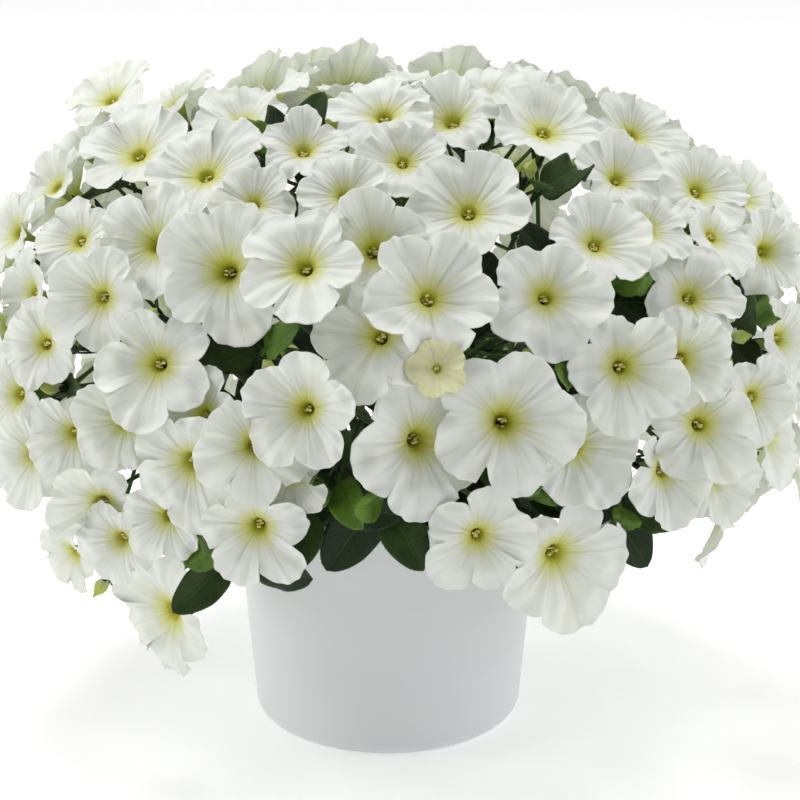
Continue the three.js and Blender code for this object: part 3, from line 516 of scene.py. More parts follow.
class Skin:
    """Closed bodies made of rings of points, gathered into one piece with values at its points."""

    def __init__(self, bend=None, **values):
        self.bend = bend
        self.points, self.quads, self.tris = [], [], []
        self.values = {name: [] for name in values}
        self.shape = values
        self.count = 0
        self.rng = np.random.default_rng(11)

    def rings(self, rings, first, last, **values):
        """Rings, anticlockwise about their axis, closed by a point before the first and after the last."""
        rows, columns = rings.shape[:2]
        self.points += [rings.reshape(-1, 3), np.array([first, last])]
        index = self.count + np.arange(rows * columns).reshape(rows, columns)
        after = np.roll(index, -1, axis=1)
        quads = np.stack([index[:-1], after[:-1], after[1:], index[1:]], axis=-1)
        start, end = (np.full(columns, self.count + rows * columns + k) for k in (0, 1))
        self.quads.append(quads.reshape(-1, 4))
        self.tris.append(np.stack([start, after[0], index[0]], axis=-1))
        self.tris.append(np.stack([end, index[-1], after[-1]], axis=-1))
        for name, width in self.shape.items():
            value = np.broadcast_to(np.asarray(values[name], float), (rows, columns) + (width,) * (width > 1))
            flat = value.reshape(rows * columns, width)
            caps = np.array([flat[:columns].mean(0), flat[-columns:].mean(0)])
            self.values[name] += [flat, caps]
        self.count += rows * columns + 2

    def hairs(self, roots, ways, **values):
        """Slim closed needles, one from each root in its own way."""
        count = len(roots)
        ways = units(ways)
        a = units(np.cross(ways, self.rng.normal(size=(count, 3))))
        b = np.cross(ways, a)
        foot = roots - ways * HAIR.sunk
        corners = [foot + HAIR.radius * (a * math.cos(turn) + b * math.sin(turn)) for turn in angles(3)]
        tips = roots + ways * HAIR.length * self.rng.uniform(*HAIR.size, (count, 1))
        self.points.append(np.stack([*corners, tips], axis=1).reshape(-1, 3))
        faces = np.array([(0, 2, 1), (0, 1, 3), (1, 2, 3), (2, 0, 3)])
        self.tris.append((self.count + 4 * np.arange(count)[:, None, None] + faces).reshape(-1, 3))
        for name, width in self.shape.items():
            self.values[name].append(np.broadcast_to(np.asarray(values[name], float), (4 * count, width)))
        self.count += 4 * count

    def piece(self, name, slot, material, *nodes):
        """The piece as an object that stands for these nodes."""
        quads, tris = np.concatenate(self.quads), np.concatenate(self.tris)
        mesh = bpy.data.meshes.new(name)
        mesh.vertices.add(self.count)
        points = np.concatenate([self.bend(part) for part in self.points] if self.bend else self.points)
        mesh.vertices.foreach_set("co", (points * MM).astype(np.float32).ravel())
        corners = np.concatenate([quads.ravel(), tris.ravel()])
        mesh.loops.add(len(corners))
        mesh.loops.foreach_set("vertex_index", corners.astype(np.int32))
        mesh.polygons.add(len(quads) + len(tris))
        starts = [np.arange(len(quads)) * 4, len(quads) * 4 + np.arange(len(tris)) * 3]
        mesh.polygons.foreach_set("loop_start", np.concatenate(starts).astype(np.int32))
        mesh.polygons.foreach_set("use_smooth", np.ones(len(mesh.polygons), bool))
        for key, width in self.shape.items():
            kind, field = ("FLOAT", "value") if width == 1 else ("FLOAT_VECTOR", "vector")
            flat = np.concatenate(self.values[key]).astype(np.float32).ravel()
            mesh.attributes.new(key, kind, "POINT").data.foreach_set(field, flat)
        mesh.update(calc_edges=True)
        mesh.validate()
        mesh.materials.append(material)
        piece = new_object(name, mesh)
        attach(piece, "root")
        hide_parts(*nodes)


def stacked(x, y, z):
    return np.stack(np.broadcast_arrays(x, y, z), axis=-1)


def polar(r, angle, z):
    return stacked(r * np.cos(angle), r * np.sin(angle), z)


def placed(at, a, b, axis, xyz):
    """Points given across and along an axis, where they are in the plant."""
    return at + xyz[..., 0:1] * a + xyz[..., 1:2] * b + xyz[..., 2:3] * axis


def through(points, steps):
    """A smooth path through a few points, by cubic pieces."""
    points = np.asarray(points, float)
    ends = np.concatenate([[2 * points[0] - points[1]], points, [2 * points[-1] - points[-2]]])
    path = []
    for i in range(len(points) - 1):
        p, q, r, s = ends[i:i + 4]
        t = np.arange(steps)[:, None] / steps
        path.append(q + 0.5 * t * (r - p + t * (2 * p - 5 * q + 4 * r - s + t * (3 * (q - r) + s - p))))
    return np.concatenate([*path, points[-1:]])


def add_tube(skin, path, radii, sides, **values):
    across = across_of(unit(path[1] - path[0]))[0]
    rings = tube_rings(path, np.broadcast_to(radii, len(path)), sides, across)
    skin.rings(rings, path[0], path[-1], **values)


# ---------------------------------------------------------------- corolla
COLUMNS = 120  # points round a corolla
TUBE = Record(rows=9, foot=1.1, depth=32, flare=2.4)
LIMB = Record(rows=22, crowding=0.35)  # how much closer its rows lie at the throat and at the rim
THROAT = 0.145  # of the corolla's radius, where its limb turns down into its tube
THROAT_DEPTH = 13
THICKNESS = Record(rim=0.34, limb=0.55, tube=0.85)
FACE = Record(
    flare=(0.55, 1.25),  # below 1 the limb turns down late and lies flat, above 1 it is a funnel
    seam=math.radians(1.2),  # how far each lobe slips over the next at the rim
    below=0.07,  # longer by this share on the side that hangs down
    aside=0.06,  # and by this on a side of its own
    tilt=(-5.5, 5.5),  # millimetres at the rim
    folds=6,  # of a crumpled petal, as waves in ways of their own
    fold_length=(8, 20),
    fold_height=0.02,  # of its length
)
# What each lobe draws for itself: the first of its five draws, and the lowest and highest value.
LOBE_DRAWS = {
    "middle": (60, 0.5, 0.62),  # where its round outline is centred, of the radius
    "tip": (65, 0.95, 1.12),  # how far out it reaches, of the radius
    "skew": (70, -0.05, 0.05),
    "notch": (75, -0.01, 0.035),  # of the radius, at the lobe's tip
    "tilt": (85, -3.6, 3.4),  # millimetres, as are the next ones
    "twist": (90, 0.2, 0.85),
    "curl": (95, 0.2, 7.0),
    "wave": (100, -1.1, 1.1),
    "crease": (130, 0.4, 1.4),  # depth of the main vein
}
# Ripples round a corolla: how many, waves in the first, more in each next one, lowest and highest height, and
# the number before the draws.
RIPPLES = {
    "rim": (4, 11, 7, 0.006, 0.006, 75),
    "ruffle": (5, 8, 5, 0.2, 0.75, 110),
    "pleat": (4, 15, 10, 0.22, 0.22, 115),
}
PAST_RIM = 0.3  # of the radius: how far out points are still pressed under a corolla, ever less
UNDER = Record(petals=1.0, greens=2.0)  # how far below a corolla's face the parts under it are pressed


def corolla_profile(size, flare):
    """Radius, as a share of the rim's, height and thickness, from deep in the tube to the rim."""
    t = np.arange(TUBE.rows) / TUBE.rows
    tube_radius = mix(TUBE.foot / BLOOM.radius, THROAT, t ** TUBE.flare)
    tube_height = mix(-TUBE.depth, -THROAT_DEPTH, t) * size
    s = np.linspace(0, 1, LIMB.rows)
    s = mix(s, ease(s), LIMB.crowding)
    limb_height = -THROAT_DEPTH * size * (1 - s ** flare)
    radius = np.concatenate([tube_radius, mix(THROAT, 1, s)])
    thickness = np.concatenate([np.full(TUBE.rows, THICKNESS.tube), mix(THICKNESS.limb, THICKNESS.rim, s)])
    return radius, np.concatenate([tube_height, limb_height]), thickness


def lobe_values(seed, lobe):
    return Record(**{
        name: np.array([draw_in(seed, first + j, low, high) for j in range(LOBES)])[lobe]
        for name, (first, low, high) in LOBE_DRAWS.items()
    })


def ripples(kind, seed, round_):
    count, waves, more, low, high, first = RIPPLES[kind]
    heights = [draw_in(seed, first + k, low, high) for k in range(count)]
    phases = [TURN * draw(seed, first + 5 + k) for k in range(count)]
    return sum(heights[k] * np.sin((waves + more * k) * round_ + phases[k]) for k in range(count))


def round_lobes(own, x):
    """How far the rim reaches at each column: five round lobes, each of its own length and breadth."""
    theta = (x - 0.5 + own.skew * np.sin(math.pi * x)) * TURN / LOBES
    square = (own.tip - own.middle) ** 2 - (own.middle * np.sin(theta)) ** 2
    rim = own.middle * np.cos(theta) + np.sqrt(np.maximum(square, 0.01))
    return rim - own.notch * np.exp(-((x - 0.5) / 0.07) ** 2)


class Corolla:
    """A bloom's face, as rows from deep in its tube to its rim, across and along the bloom's axis.

    Each of its lobes has its own length, breadth, tilt, twist and curl, and lies a little over the next."""

    def __init__(self, bloom):
        self.bloom, self.at = bloom, bloom.at
        self.axes = np.array([*across_of(bloom.axis), bloom.axis])
        self.spin = draw(bloom.seed, 4) * TURN
        self.grow()
        self.own_face = self.face

    def grow(self):
        seed, size = self.bloom.seed, self.bloom.radius / BLOOM.radius
        turn = np.arange(COLUMNS) / COLUMNS
        lobe = np.floor(turn * LOBES).astype(int)
        x = turn * LOBES - lobe
        own = lobe_values(seed, lobe)
        self.rows, height, self.thickness = corolla_profile(size, draw_in(seed, 50, *FACE.flare))
        reach, round_ = self.rows[:, None], turn * TURN
        outer = ease(reach, THROAT, 1 - THROAT)
        side = 2 * x - 1 + 1 / COLUMNS * LOBES

        def swell(prop):
            return np.cos(round_ + TURN * draw(seed, prop))

        down = self.axes[:2] @ [0, 0, -1]
        below = np.linalg.norm(down) * np.cos(round_ + self.spin - math.atan2(down[1], down[0]))
        self.rim = round_lobes(own, x) + FACE.below * below + FACE.aside * swell(142)
        self.rim += ripples("rim", seed, round_)

        # Each lobe tilts, twists, curls back and waves.
        hump = np.sin(math.pi * x)
        lift = own.tilt * hump ** 0.8 * outer ** 1.3 + own.twist * side * outer ** 1.2
        lift = lift - own.curl * hump ** 0.5 * ease(reach, 0.5, 0.5) ** 2
        lift = lift + own.wave * np.sin(2 * TURN * x + TURN * draw(seed, 105)) * ease(reach, 0.45, 0.55)
        # The rim is ruffled, the limb pleated, the main veins are sunk, and the whole face tilts.
        lift = lift + ripples("ruffle", seed, round_) * reach ** 4
        lift = lift + ripples("pleat", seed, round_) * np.sin(math.pi * reach) * ease(reach, THROAT, 0.25)
        crease = own.crease * np.exp(-((x - 0.5) / 0.1) ** 2)
        lift = lift - crease * reach ** 0.7 * (1 - 0.5 * reach ** 3)
        lift = lift + draw_in(seed, 140, *FACE.tilt) * swell(141) * reach ** 1.4

        r = self.bloom.radius * reach * self.outline(reach, self.rim)
        angle = round_ + FACE.seam * side ** 5 * outer ** 1.2 + self.spin
        for k in range(FACE.folds):
            way, length = draw(seed, 145 + k) * TURN, draw_in(seed, 151 + k, *FACE.fold_length)
            fold = np.sin(r * np.cos(angle - way) / length * TURN + TURN * draw(seed, 157 + k))
            lift = lift + FACE.fold_height * length * fold * ease(reach, 0.25, 0.4)
        lift = lift * ease(reach, 0.4 * THROAT, THROAT)
        self.face = polar(r, angle, height[:, None] + size * lift)

    def outline(self, reach, rim):
        """How much the lobes widen or narrow the corolla at a share of the way out to its rim."""
        return mix(1, rim, ease(reach, 1.2 * THROAT, 1 - 1.2 * THROAT))

    def above(self, points):
        """How far points stand above the face, and how far out they are, where 1 is the rim."""
        local = (points - self.at) @ self.axes.T
        column = np.rint(((np.arctan2(local[..., 1], local[..., 0]) - self.spin) / TURN % 1) * COLUMNS)
        column = column.astype(int) % COLUMNS
        out = np.hypot(local[..., 0], local[..., 1]) / self.bloom.radius
        reach = out
        for _ in range(3):
            reach = out / self.outline(np.minimum(reach, 1), self.rim[column])
        row = np.rint(np.interp(reach, self.rows, np.arange(len(self.rows)))).astype(int)
        return local[..., 2] - self.own_face[row, column, 2], reach

    def press(self, points, gap, share=1.0):
        """Moves points that stand above the face, or just past its rim, to below it."""
        above, reach = self.above(points)
        depth = np.maximum(above + gap, 0) * share * (1 - ease(reach, 1, PAST_RIM))
        return points - depth[..., None] * self.bloom.axis

    def world(self, local):
        return self.at + local @ self.axes


def stands_out(upper, lower):
    """How far a corolla stands out above another one, on the whole. The half-open one always does."""
    above, reach = lower.above(upper.world(upper.own_face[TUBE.rows:]))
    return math.inf if upper.bloom.seed == HALF_OPEN else np.where(reach < 1, above, 0).mean()


def lay_over(corollas):
    """Where two corollas cross, the one that stands out less slips under the other."""
    for i, first in enumerate(corollas):
        for second in corollas[:i]:
            if distance(first.at, second.at) > first.bloom.radius + second.bloom.radius:
                continue
            is_over = stands_out(first, second) > stands_out(second, first)
            upper, lower = (first, second) if is_over else (second, first)
            share = ease(lower.rows, 1.3 * THROAT, 0.3)[:, None]
            pressed = upper.press(lower.world(lower.face), UNDER.petals, share)
            lower.face = (pressed - lower.at) @ lower.axes.T


def tucked(points):
    """The points of a green part, bent under the corollas that it would stand in front of."""
    middle = (points.max(axis=0) + points.min(axis=0)) / 2
    reach = np.linalg.norm(points - middle, axis=1).max()
    for corolla in all_corollas:
        if distance(corolla.at, middle) < reach + corolla.bloom.radius:
            points = corolla.press(points, UNDER.greens)
    return points


def face_normals(grid):
    """The way that each point of a closed grid of rows faces, towards the light at its middle."""
    across = (np.roll(grid, -1, axis=1) - np.roll(grid, 1, axis=1)) / 2
    normal = np.cross(np.gradient(grid, axis=0), across)
    return normal / np.maximum(np.linalg.norm(normal, axis=-1, keepdims=True), 1e-9)


def add_corolla(skin, corolla):
    inner = corolla.face
    outer = inner - face_normals(inner) * corolla.thickness[:, None, None]
    foot = outer[:1] * [0.8, 0.8, 1] - [0, 0, 4]
    rows = np.concatenate([foot, outer, inner[::-1]])
    reach = np.concatenate([corolla.rows[:1], corolla.rows, corolla.rows[::-1]])[:, None]
    ray = polar(1, angles(COLUMNS), draw(corolla.bloom.seed, 5))
    inside = (np.arange(len(rows)) > len(outer)).astype(float)[:, None]
    ends = corolla.world(np.array([[0, 0, foot[0, 0, 2] - 0.5], [0, 0, inner[0, 0, 2] - 0.6]]))
    skin.rings(corolla.world(rows), *ends, ray=ray, reach=reach, inside=inside)


for stem in stems:
    stem.corollas = [Corolla(bloom) for bloom in stem.blooms]
all_corollas = [corolla for stem in stems for corolla in stem.corollas]
lay_over(all_corollas)


# ---------------------------------------------------------------- stamens
STAMEN = Record(foot=30, ring=(1.1, 2.4), stray=0.4, depth=(14.0, 19.0), filament=0.26, lean=0.6)
ANTHER = Record(radius=0.66, squash=1.5, apart=0.5)
STIGMA = Record(radius=0.95, squash=0.6, depth=15)


def add_blob(skin, centre, axis, size, squash, **values):
    """A rounded body, longer or shorter along its axis."""
    rise = np.linspace(-1, 1, 7)[1:-1, None]
    xyz = polar(size * np.sqrt(1 - rise * rise), angles(8), size * squash * rise)
    first, last = centre - axis * size * squash, centre + axis * size * squash
    skin.rings(placed(centre, *across_of(axis), axis, xyz), first, last, **values)


def add_stamens(skin, bloom):
    """Five anthers round a stigma, in the mouth of the tube, on their filaments."""
    seed, size = bloom.seed, bloom.radius / BLOOM.radius
    a, b = across_of(bloom.axis)
    deep = bloom.at - bloom.axis * STAMEN.foot * size
    for k in range(LOBES + 1):
        in_middle = k == LOBES
        ring = 0 if in_middle else draw_in(seed, 150 + k, *STAMEN.ring)
        angle = k / LOBES * TURN + draw_in(seed, 160 + k, -STAMEN.stray, STAMEN.stray)
        depth = STIGMA.depth if in_middle else draw_in(seed, 170 + k, *STAMEN.depth)
        tip = ring_point(bloom.at - bloom.axis * depth * size, a, b, ring * size, angle)
        along = unit(tip - deep)
        add_tube(skin, through([deep, tip], 3), STAMEN.filament, 5, stigma=float(in_middle))
        lean = unit(along + a * draw_in(seed, 180 + k, -STAMEN.lean, STAMEN.lean))
        if in_middle:
            add_blob(skin, tip, lean, STIGMA.radius, STIGMA.squash, stigma=1.0)
            continue
        for side in (-ANTHER.apart, ANTHER.apart):
            half = tip + across_of(lean)[0] * side
            add_blob(skin, half, lean, ANTHER.radius, ANTHER.squash, stigma=0.0)


# ---------------------------------------------------------------- leaves, sepals and stalks
LEAF_GRID = Record(rows=26, columns=13)
PETIOLE = Record(share=0.18, width=(1.5, 0.9), half=1.1)  # share of the leaf's length
BLADE = Record(full=1.72, heel=0.36, tip=0.6, fold=1.3)  # the powers that round its two ends and its fold
MARGIN = Record(waves=3, first=9, more=5, height=0.5, half=0.32)
VEINS = Record(pairs=7, slant=2.2, puff=0.28, midrib=0.5, midrib_width=0.09)
SEPAL = Record(rows=9, columns=5, width=3.4, half=0.35, cup=0.25, bend=0.12)
# A calyx: its rings along the axis, their radii below and beside the tube, and its sepals' ways and sizes.
CALYX = Record(
    along=(-2.5, -1, 1, 3, 4.5), below=(1.1, 2.0), beside=(0, 0.4, 0.2), sepals=2.5, stray=0.15,
    spread=(0.25, 0.55), size=(0.8, 1.15), flower=(2.6, 13), bud=(1.9, 9))
# Radii of the stalks from their root to their end, and how young each green is, from 0 to 1.
STALK = Record(
    stem=2.9, stem_end=0.88, knots=0.12, spine=(2.5, 1.7), twig=(1.9, 1.3), flower=(1.35, 1.15), bud=1.2)
YOUNG = Record(stem=0.2, spine=0.4, twig=0.5, sepal=0.6, calyx=0.7, stalk=0.8)
FORK = Record(out=0.62, drop=0.16, rise=0.06, into_calyx=1.5)  # the bend of a flower's stalk, of its length
FURLED = Record(rows=14, columns=30, into_calyx=2, bend=0.3, pleat=0.16, twist=2.4, tip=0.4)


def add_blade(skin, root, heading, side, face, outline, lift, half, columns, upper, young):
    """A thin blade: cross sections that run over its upper face and back under its lower one.

    outline has its half widths along it, half its half thickness, and lift(u, v) its height in the middle."""
    v = np.linspace(-1, 1, columns)
    edge = np.sqrt(np.clip(1 - v ** 8, 0.02, 1))
    u = np.linspace(0, 1, len(outline))
    middle, half = lift(u[:, None], v[None, :]), half[:, None]
    across = np.concatenate([v, v[::-1]])
    height = np.concatenate([middle + half * edge, (middle - half * edge)[:, ::-1]], axis=1)
    along = (u * np.linalg.norm(heading))[:, None]
    xyz = stacked(np.outer(outline, across), height, along)
    points = placed(root, side, face, unit(heading), xyz)[:, ::-1]
    blade = stacked(across[::-1], u[:, None], 0.0)
    skin.rings(points, root, points[-1].mean(0), blade=blade, upper=upper, young=young)
    return points, across[::-1]


def add_leaf(skin, leaf):
    """An ovate blade, folded up along its middle, waved at its margin, with its veins sunk in its face."""
    side, face = leaf_frame(leaf)
    rows, columns = LEAF_GRID.rows, LEAF_GRID.columns
    u = np.linspace(0, 1, rows)
    t = np.clip((u - PETIOLE.share) / (1 - PETIOLE.share), 0, 1)
    blade = BLADE.full * t ** BLADE.heel * (1 - t) ** BLADE.tip * leaf.width / 2
    outline = np.maximum(blade, mix(*PETIOLE.width, ease(u, 0, 0.25)) * (u < 0.9) + 0.15)
    outline[-1] = 0.2
    turns = [TURN * draw(leaf.seed, 200 + k) for k in range(MARGIN.waves)]

    def lift(u, v):
        spread = np.clip(outline[:, None] / (leaf.width / 2), 0, 1)
        fold = LEAF.fold * np.abs(v) ** BLADE.fold * spread
        waves = [np.sin((MARGIN.first + MARGIN.more * k) * u + turn + 2 * v) for k, turn in enumerate(turns)]
        margin = MARGIN.height * sum(waves) * np.abs(v) ** 2.5 * spread
        vein = np.cos(TURN * (VEINS.pairs * u - VEINS.slant * np.abs(v)))
        puff = VEINS.puff * vein * np.sqrt(np.abs(v)) * spread * (1 - v ** 6)
        midrib = VEINS.midrib * np.exp(-(v / VEINS.midrib_width) ** 2) * spread
        return fold + margin + (puff - midrib) - LEAF.droop * u * u

    half = mix(PETIOLE.half, MARGIN.half, ease(u, 0, 0.35)) * np.where(u > 0.96, 0.7, 1)
    upper = np.repeat([0.0, 1.0], columns)
    heading = leaf.heading * leaf.length
    points, across = add_blade(
        skin, leaf.root, heading, side, face, outline, lift, half, columns, upper, leaf.young)
    count = HAIR.per_leaf
    row, share = skin.rng.integers(1, rows - 2, count), skin.rng.uniform(0, 1, (count, 1))
    edge = skin.rng.choice(np.nonzero(np.abs(across) > 0.99)[0], count)
    roots = mix(points[row, edge], points[row + 1, edge], share)
    ways = side * across[edge, None] + leaf.heading * 0.3 + skin.rng.normal(size=(count, 3)) * 0.35
    skin.hairs(roots, ways, blade=np.zeros(3), upper=1.0, young=leaf.young)


def add_sepal(skin, root, heading, face, length):
    side = unit(np.cross(heading, face))
    u = np.linspace(0, 1, SEPAL.rows)
    outline = SEPAL.width / 2 * (0.55 + 0.9 * u) * (1 - u ** 2.4) ** 0.6 + 0.12
    add_blade(
        skin, root, heading * length, side, np.cross(side, heading), outline,
        lambda u, v: SEPAL.cup * v * v * SEPAL.width + SEPAL.bend * length * u * u,
        np.full(SEPAL.rows, SEPAL.half), SEPAL.columns, 1.0, YOUNG.sepal)


def add_stalk(skin, path, radii, young, sides=8):
    """A round stalk with short hairs all over it."""
    values = {"blade": np.zeros(3), "upper": 0.5, "young": young}
    path, radii = np.asarray(path), np.broadcast_to(radii, len(path))
    add_tube(skin, path, radii, sides, **values)
    steps = np.linalg.norm(np.diff(path, axis=0), axis=1)
    count = int(HAIR.per_mm * steps.sum())
    i = skin.rng.choice(len(steps), count, p=steps / steps.sum())
    t = skin.rng.uniform(0, 1, (count, 1))
    along = (path[i + 1] - path[i]) / steps[i, None]
    out = units(np.cross(along, skin.rng.normal(size=(count, 3))))
    roots = mix(path[i], path[i + 1], t) + out * mix(radii[i, None], radii[i + 1, None], t) * 0.96
    skin.hairs(roots, out + along * skin.rng.uniform(-0.2, 0.5, (count, 1)), **values)


def add_calyx(skin, foot, axis, seed, tube_radius, length):
    """A small cup at the foot of a tube, with five narrow sepals that spread from it."""
    a, b = across_of(axis)
    path = foot + axis * np.array(CALYX.along)[:, None]
    radii = np.array([*CALYX.below, *(tube_radius + more for more in CALYX.beside)])
    add_stalk(skin, path, radii, YOUNG.calyx, 12)
    for k in range(LOBES):
        angle = (k + draw_in(seed, 210 + k, -CALYX.stray, CALYX.stray)) / LOBES * TURN
        out = ring_point(vec(0, 0, 0), a, b, 1, angle)
        heading = unit(axis + out * draw_in(seed, 220 + k, *CALYX.spread))
        root = foot + axis * CALYX.sepals + out * (tube_radius - 0.3)
        add_sepal(skin, root, heading, unit(axis * 0.2 - out), length * draw_in(seed, 230 + k, *CALYX.size))


def add_flower_stalk(skin, bloom, along):
    """From its fork on the spine, out beside it and up into the calyx."""
    fork, foot = bloom.fork, bloom.at - bloom.axis * BLOOM.length
    length = distance(foot, fork)
    bend = mix(fork, foot, FORK.out) - bloom.axis * FORK.drop * length + along * FORK.rise * length
    path = bezier((fork, bend, foot), np.linspace(0, 1, 10))
    path = np.concatenate([path, [foot + bloom.axis * FORK.into_calyx]])
    add_stalk(skin, path, np.linspace(*STALK.flower, len(path)), YOUNG.stalk)
    add_calyx(skin, foot, bloom.axis, bloom.seed, *CALYX.flower)


def add_bud(skin, petals, bud):
    """A furled corolla, pleated and twisted, in its calyx on a bent stalk."""
    foot = bud.foot + bud.heading * FURLED.into_calyx
    guide = (bud.root, foot - bud.heading * FURLED.bend * distance(foot, bud.root), foot)
    add_stalk(skin, bezier(guide, np.linspace(0, 1, 9)), STALK.bud, YOUNG.stalk)
    add_calyx(skin, foot, bud.heading, bud.seed, *CALYX.bud)
    t, angle = np.linspace(0, 1, FURLED.rows)[:, None], angles(FURLED.columns)
    length = BUD.length - FURLED.into_calyx
    r = BUD.radius * (0.5 + 0.5 * ease(t, 0.3, 0.35)) * (1 - ease(t, 0.66, 0.36) * 0.92)
    r = r * (1 + FURLED.pleat * np.cos(LOBES * (angle + FURLED.twist * t)) * ease(t, 0.25, 1 / 3))
    rings = placed(foot, *across_of(bud.heading), bud.heading, polar(r, angle, t * length))
    tip, ray = foot + bud.heading * (length + FURLED.tip), polar(1, angle, draw(bud.seed, 5))
    petals.rings(rings, foot, tip, ray=ray, reach=t, inside=0.0)


def add_greens(skin, petals, stem):
    t = np.linspace(0, 1, 18)
    radii = (STALK.stem + STALK.knots * np.sin(np.arange(18) * 2.1)) * np.linspace(1, STALK.stem_end, 18)
    add_stalk(skin, bezier(stem.curve, t), radii, YOUNG.stem, 10)
    for path in stem.twigs:
        add_stalk(skin, through(path, 7), np.linspace(*STALK.twig, 15), YOUNG.twig)
    for leaf in stem.leaves:
        add_leaf(skin, leaf)
    for bud in stem.buds:
        add_bud(skin, petals, bud)


# ---------------------------------------------------------------- pot and soil
CRUMBS = Record(count=900, perlite=0.16, size=(0.7, 2.1), squash=(0.5, 1.8))
LUMPS = Record(count=9, waves=(0.1, 0.9), height=0.35, grain=0.5)


def inside_radius(z):
    side = mix(POT.foot, POT.rim, (z - POT.edge) / (POT.height - POT.edge))
    return side - POT.wall


def arc(radius, z, size, start, end, steps):
    angle = np.radians(np.linspace(start, end, steps + 1))
    return np.stack([radius + size * np.cos(angle), z + size * np.sin(angle)], axis=-1)


def turned(profile, sides):
    """Rings about the upright axis, from the foot of the outside up it and down the inside."""
    profile = np.asarray(profile)
    return polar(profile[:, :1], angles(sides), profile[:, 1:])


def make_pot(material):
    lip = POT.wall / 2
    edge = arc(POT.foot - POT.edge, POT.edge, POT.edge, -90, 0, 12)
    rim = arc(POT.rim - lip, POT.height - lip, lip, 0, 180, 8)
    low = POT.floor + POT.slope
    corners = [(inside_radius(low), low), (inside_radius(low) - POT.slope, POT.floor), (0.5, POT.floor)]

    def straight(start, end, steps):
        return np.linspace(start, end, steps + 1)[1:]

    profile = np.concatenate([
        straight((0.5, 0), edge[0], 5), edge[1:], straight(edge[-1], rim[0], 14), rim[1:],
        straight(rim[-1], corners[0], 8), corners[1:2], straight(corners[1], corners[2], 4),
    ])
    skin = Skin()
    skin.rings(turned(profile, POT.sides), vec(0, 0, 0), vec(0, 0, POT.floor))
    skin.piece("pot_shell", "pot", material, "pot")


def make_soil(material):
    """Potting mix: a lumpy top on the mass that fills the pot, with crumbs of bark and perlite on it."""
    rng = np.random.default_rng(7)
    c, low = SOIL.clearance, POT.floor + POT.slope
    inside = inside_radius(SOIL.top) - 2 * c
    wall = [(inside_radius(POT.floor) - POT.slope - 1, POT.floor + c), (inside_radius(low) - 2 * c, low + c),
            (inside, SOIL.top)]

    def height(share):
        return SOIL.top + SOIL.rise * (1 - share ** 2)

    share = np.linspace(1, 0.02, 34)[1:]
    rings = turned(np.concatenate([wall, np.stack([inside * share, height(share)], axis=-1)]), 120)
    low_wave, high_wave = LUMPS.waves
    draws = rng.uniform((low_wave, low_wave, 0, 0), (high_wave, high_wave, TURN, TURN), (LUMPS.count, 4))
    lumps = sum(np.sin(rings[3:, :, 0] * fx + p) * np.cos(rings[3:, :, 1] * fy + q) for fx, fy, p, q in draws)
    rings[3:, :, 2] += LUMPS.height * lumps + rng.uniform(-LUMPS.grain, LUMPS.grain, lumps.shape)
    skin = Skin(crumb=1)
    skin.rings(rings, vec(0, 0, POT.floor + c), rings[-1].mean(0), crumb=0.0)
    for _ in range(CRUMBS.count):
        r, angle = inside * math.sqrt(rng.uniform(0.001, 0.94)), rng.uniform(0, TURN)
        at = vec(r * math.cos(angle), r * math.sin(angle), height(r / inside) + 0.4)
        axis = unit(rng.normal(size=3))
        perlite = float(rng.uniform() < CRUMBS.perlite)
        size, squash = rng.uniform(*CRUMBS.size), rng.uniform(*CRUMBS.squash)
        add_blob(skin, at, axis, size, squash, crumb=0.5 + perlite / 2)
    skin.piece("potting_mix", "soil", material, "soil")


# ---------------------------------------------------------------- materials
class Value:
    """What a socket of a material puts out. Arithmetic on it adds nodes to the material."""

    def __init__(self, look, socket):
        self.look, self.socket = look, socket


ARITHMETIC = zip("add sub mul truediv pow abs".split(), "ADD SUBTRACT MULTIPLY DIVIDE POWER ABSOLUTE".split())
for short, operation in ARITHMETIC:
    setattr(Value, f"__{short}__", lambda self, other=0.0, kind=operation: self.look.math(kind, self, other))


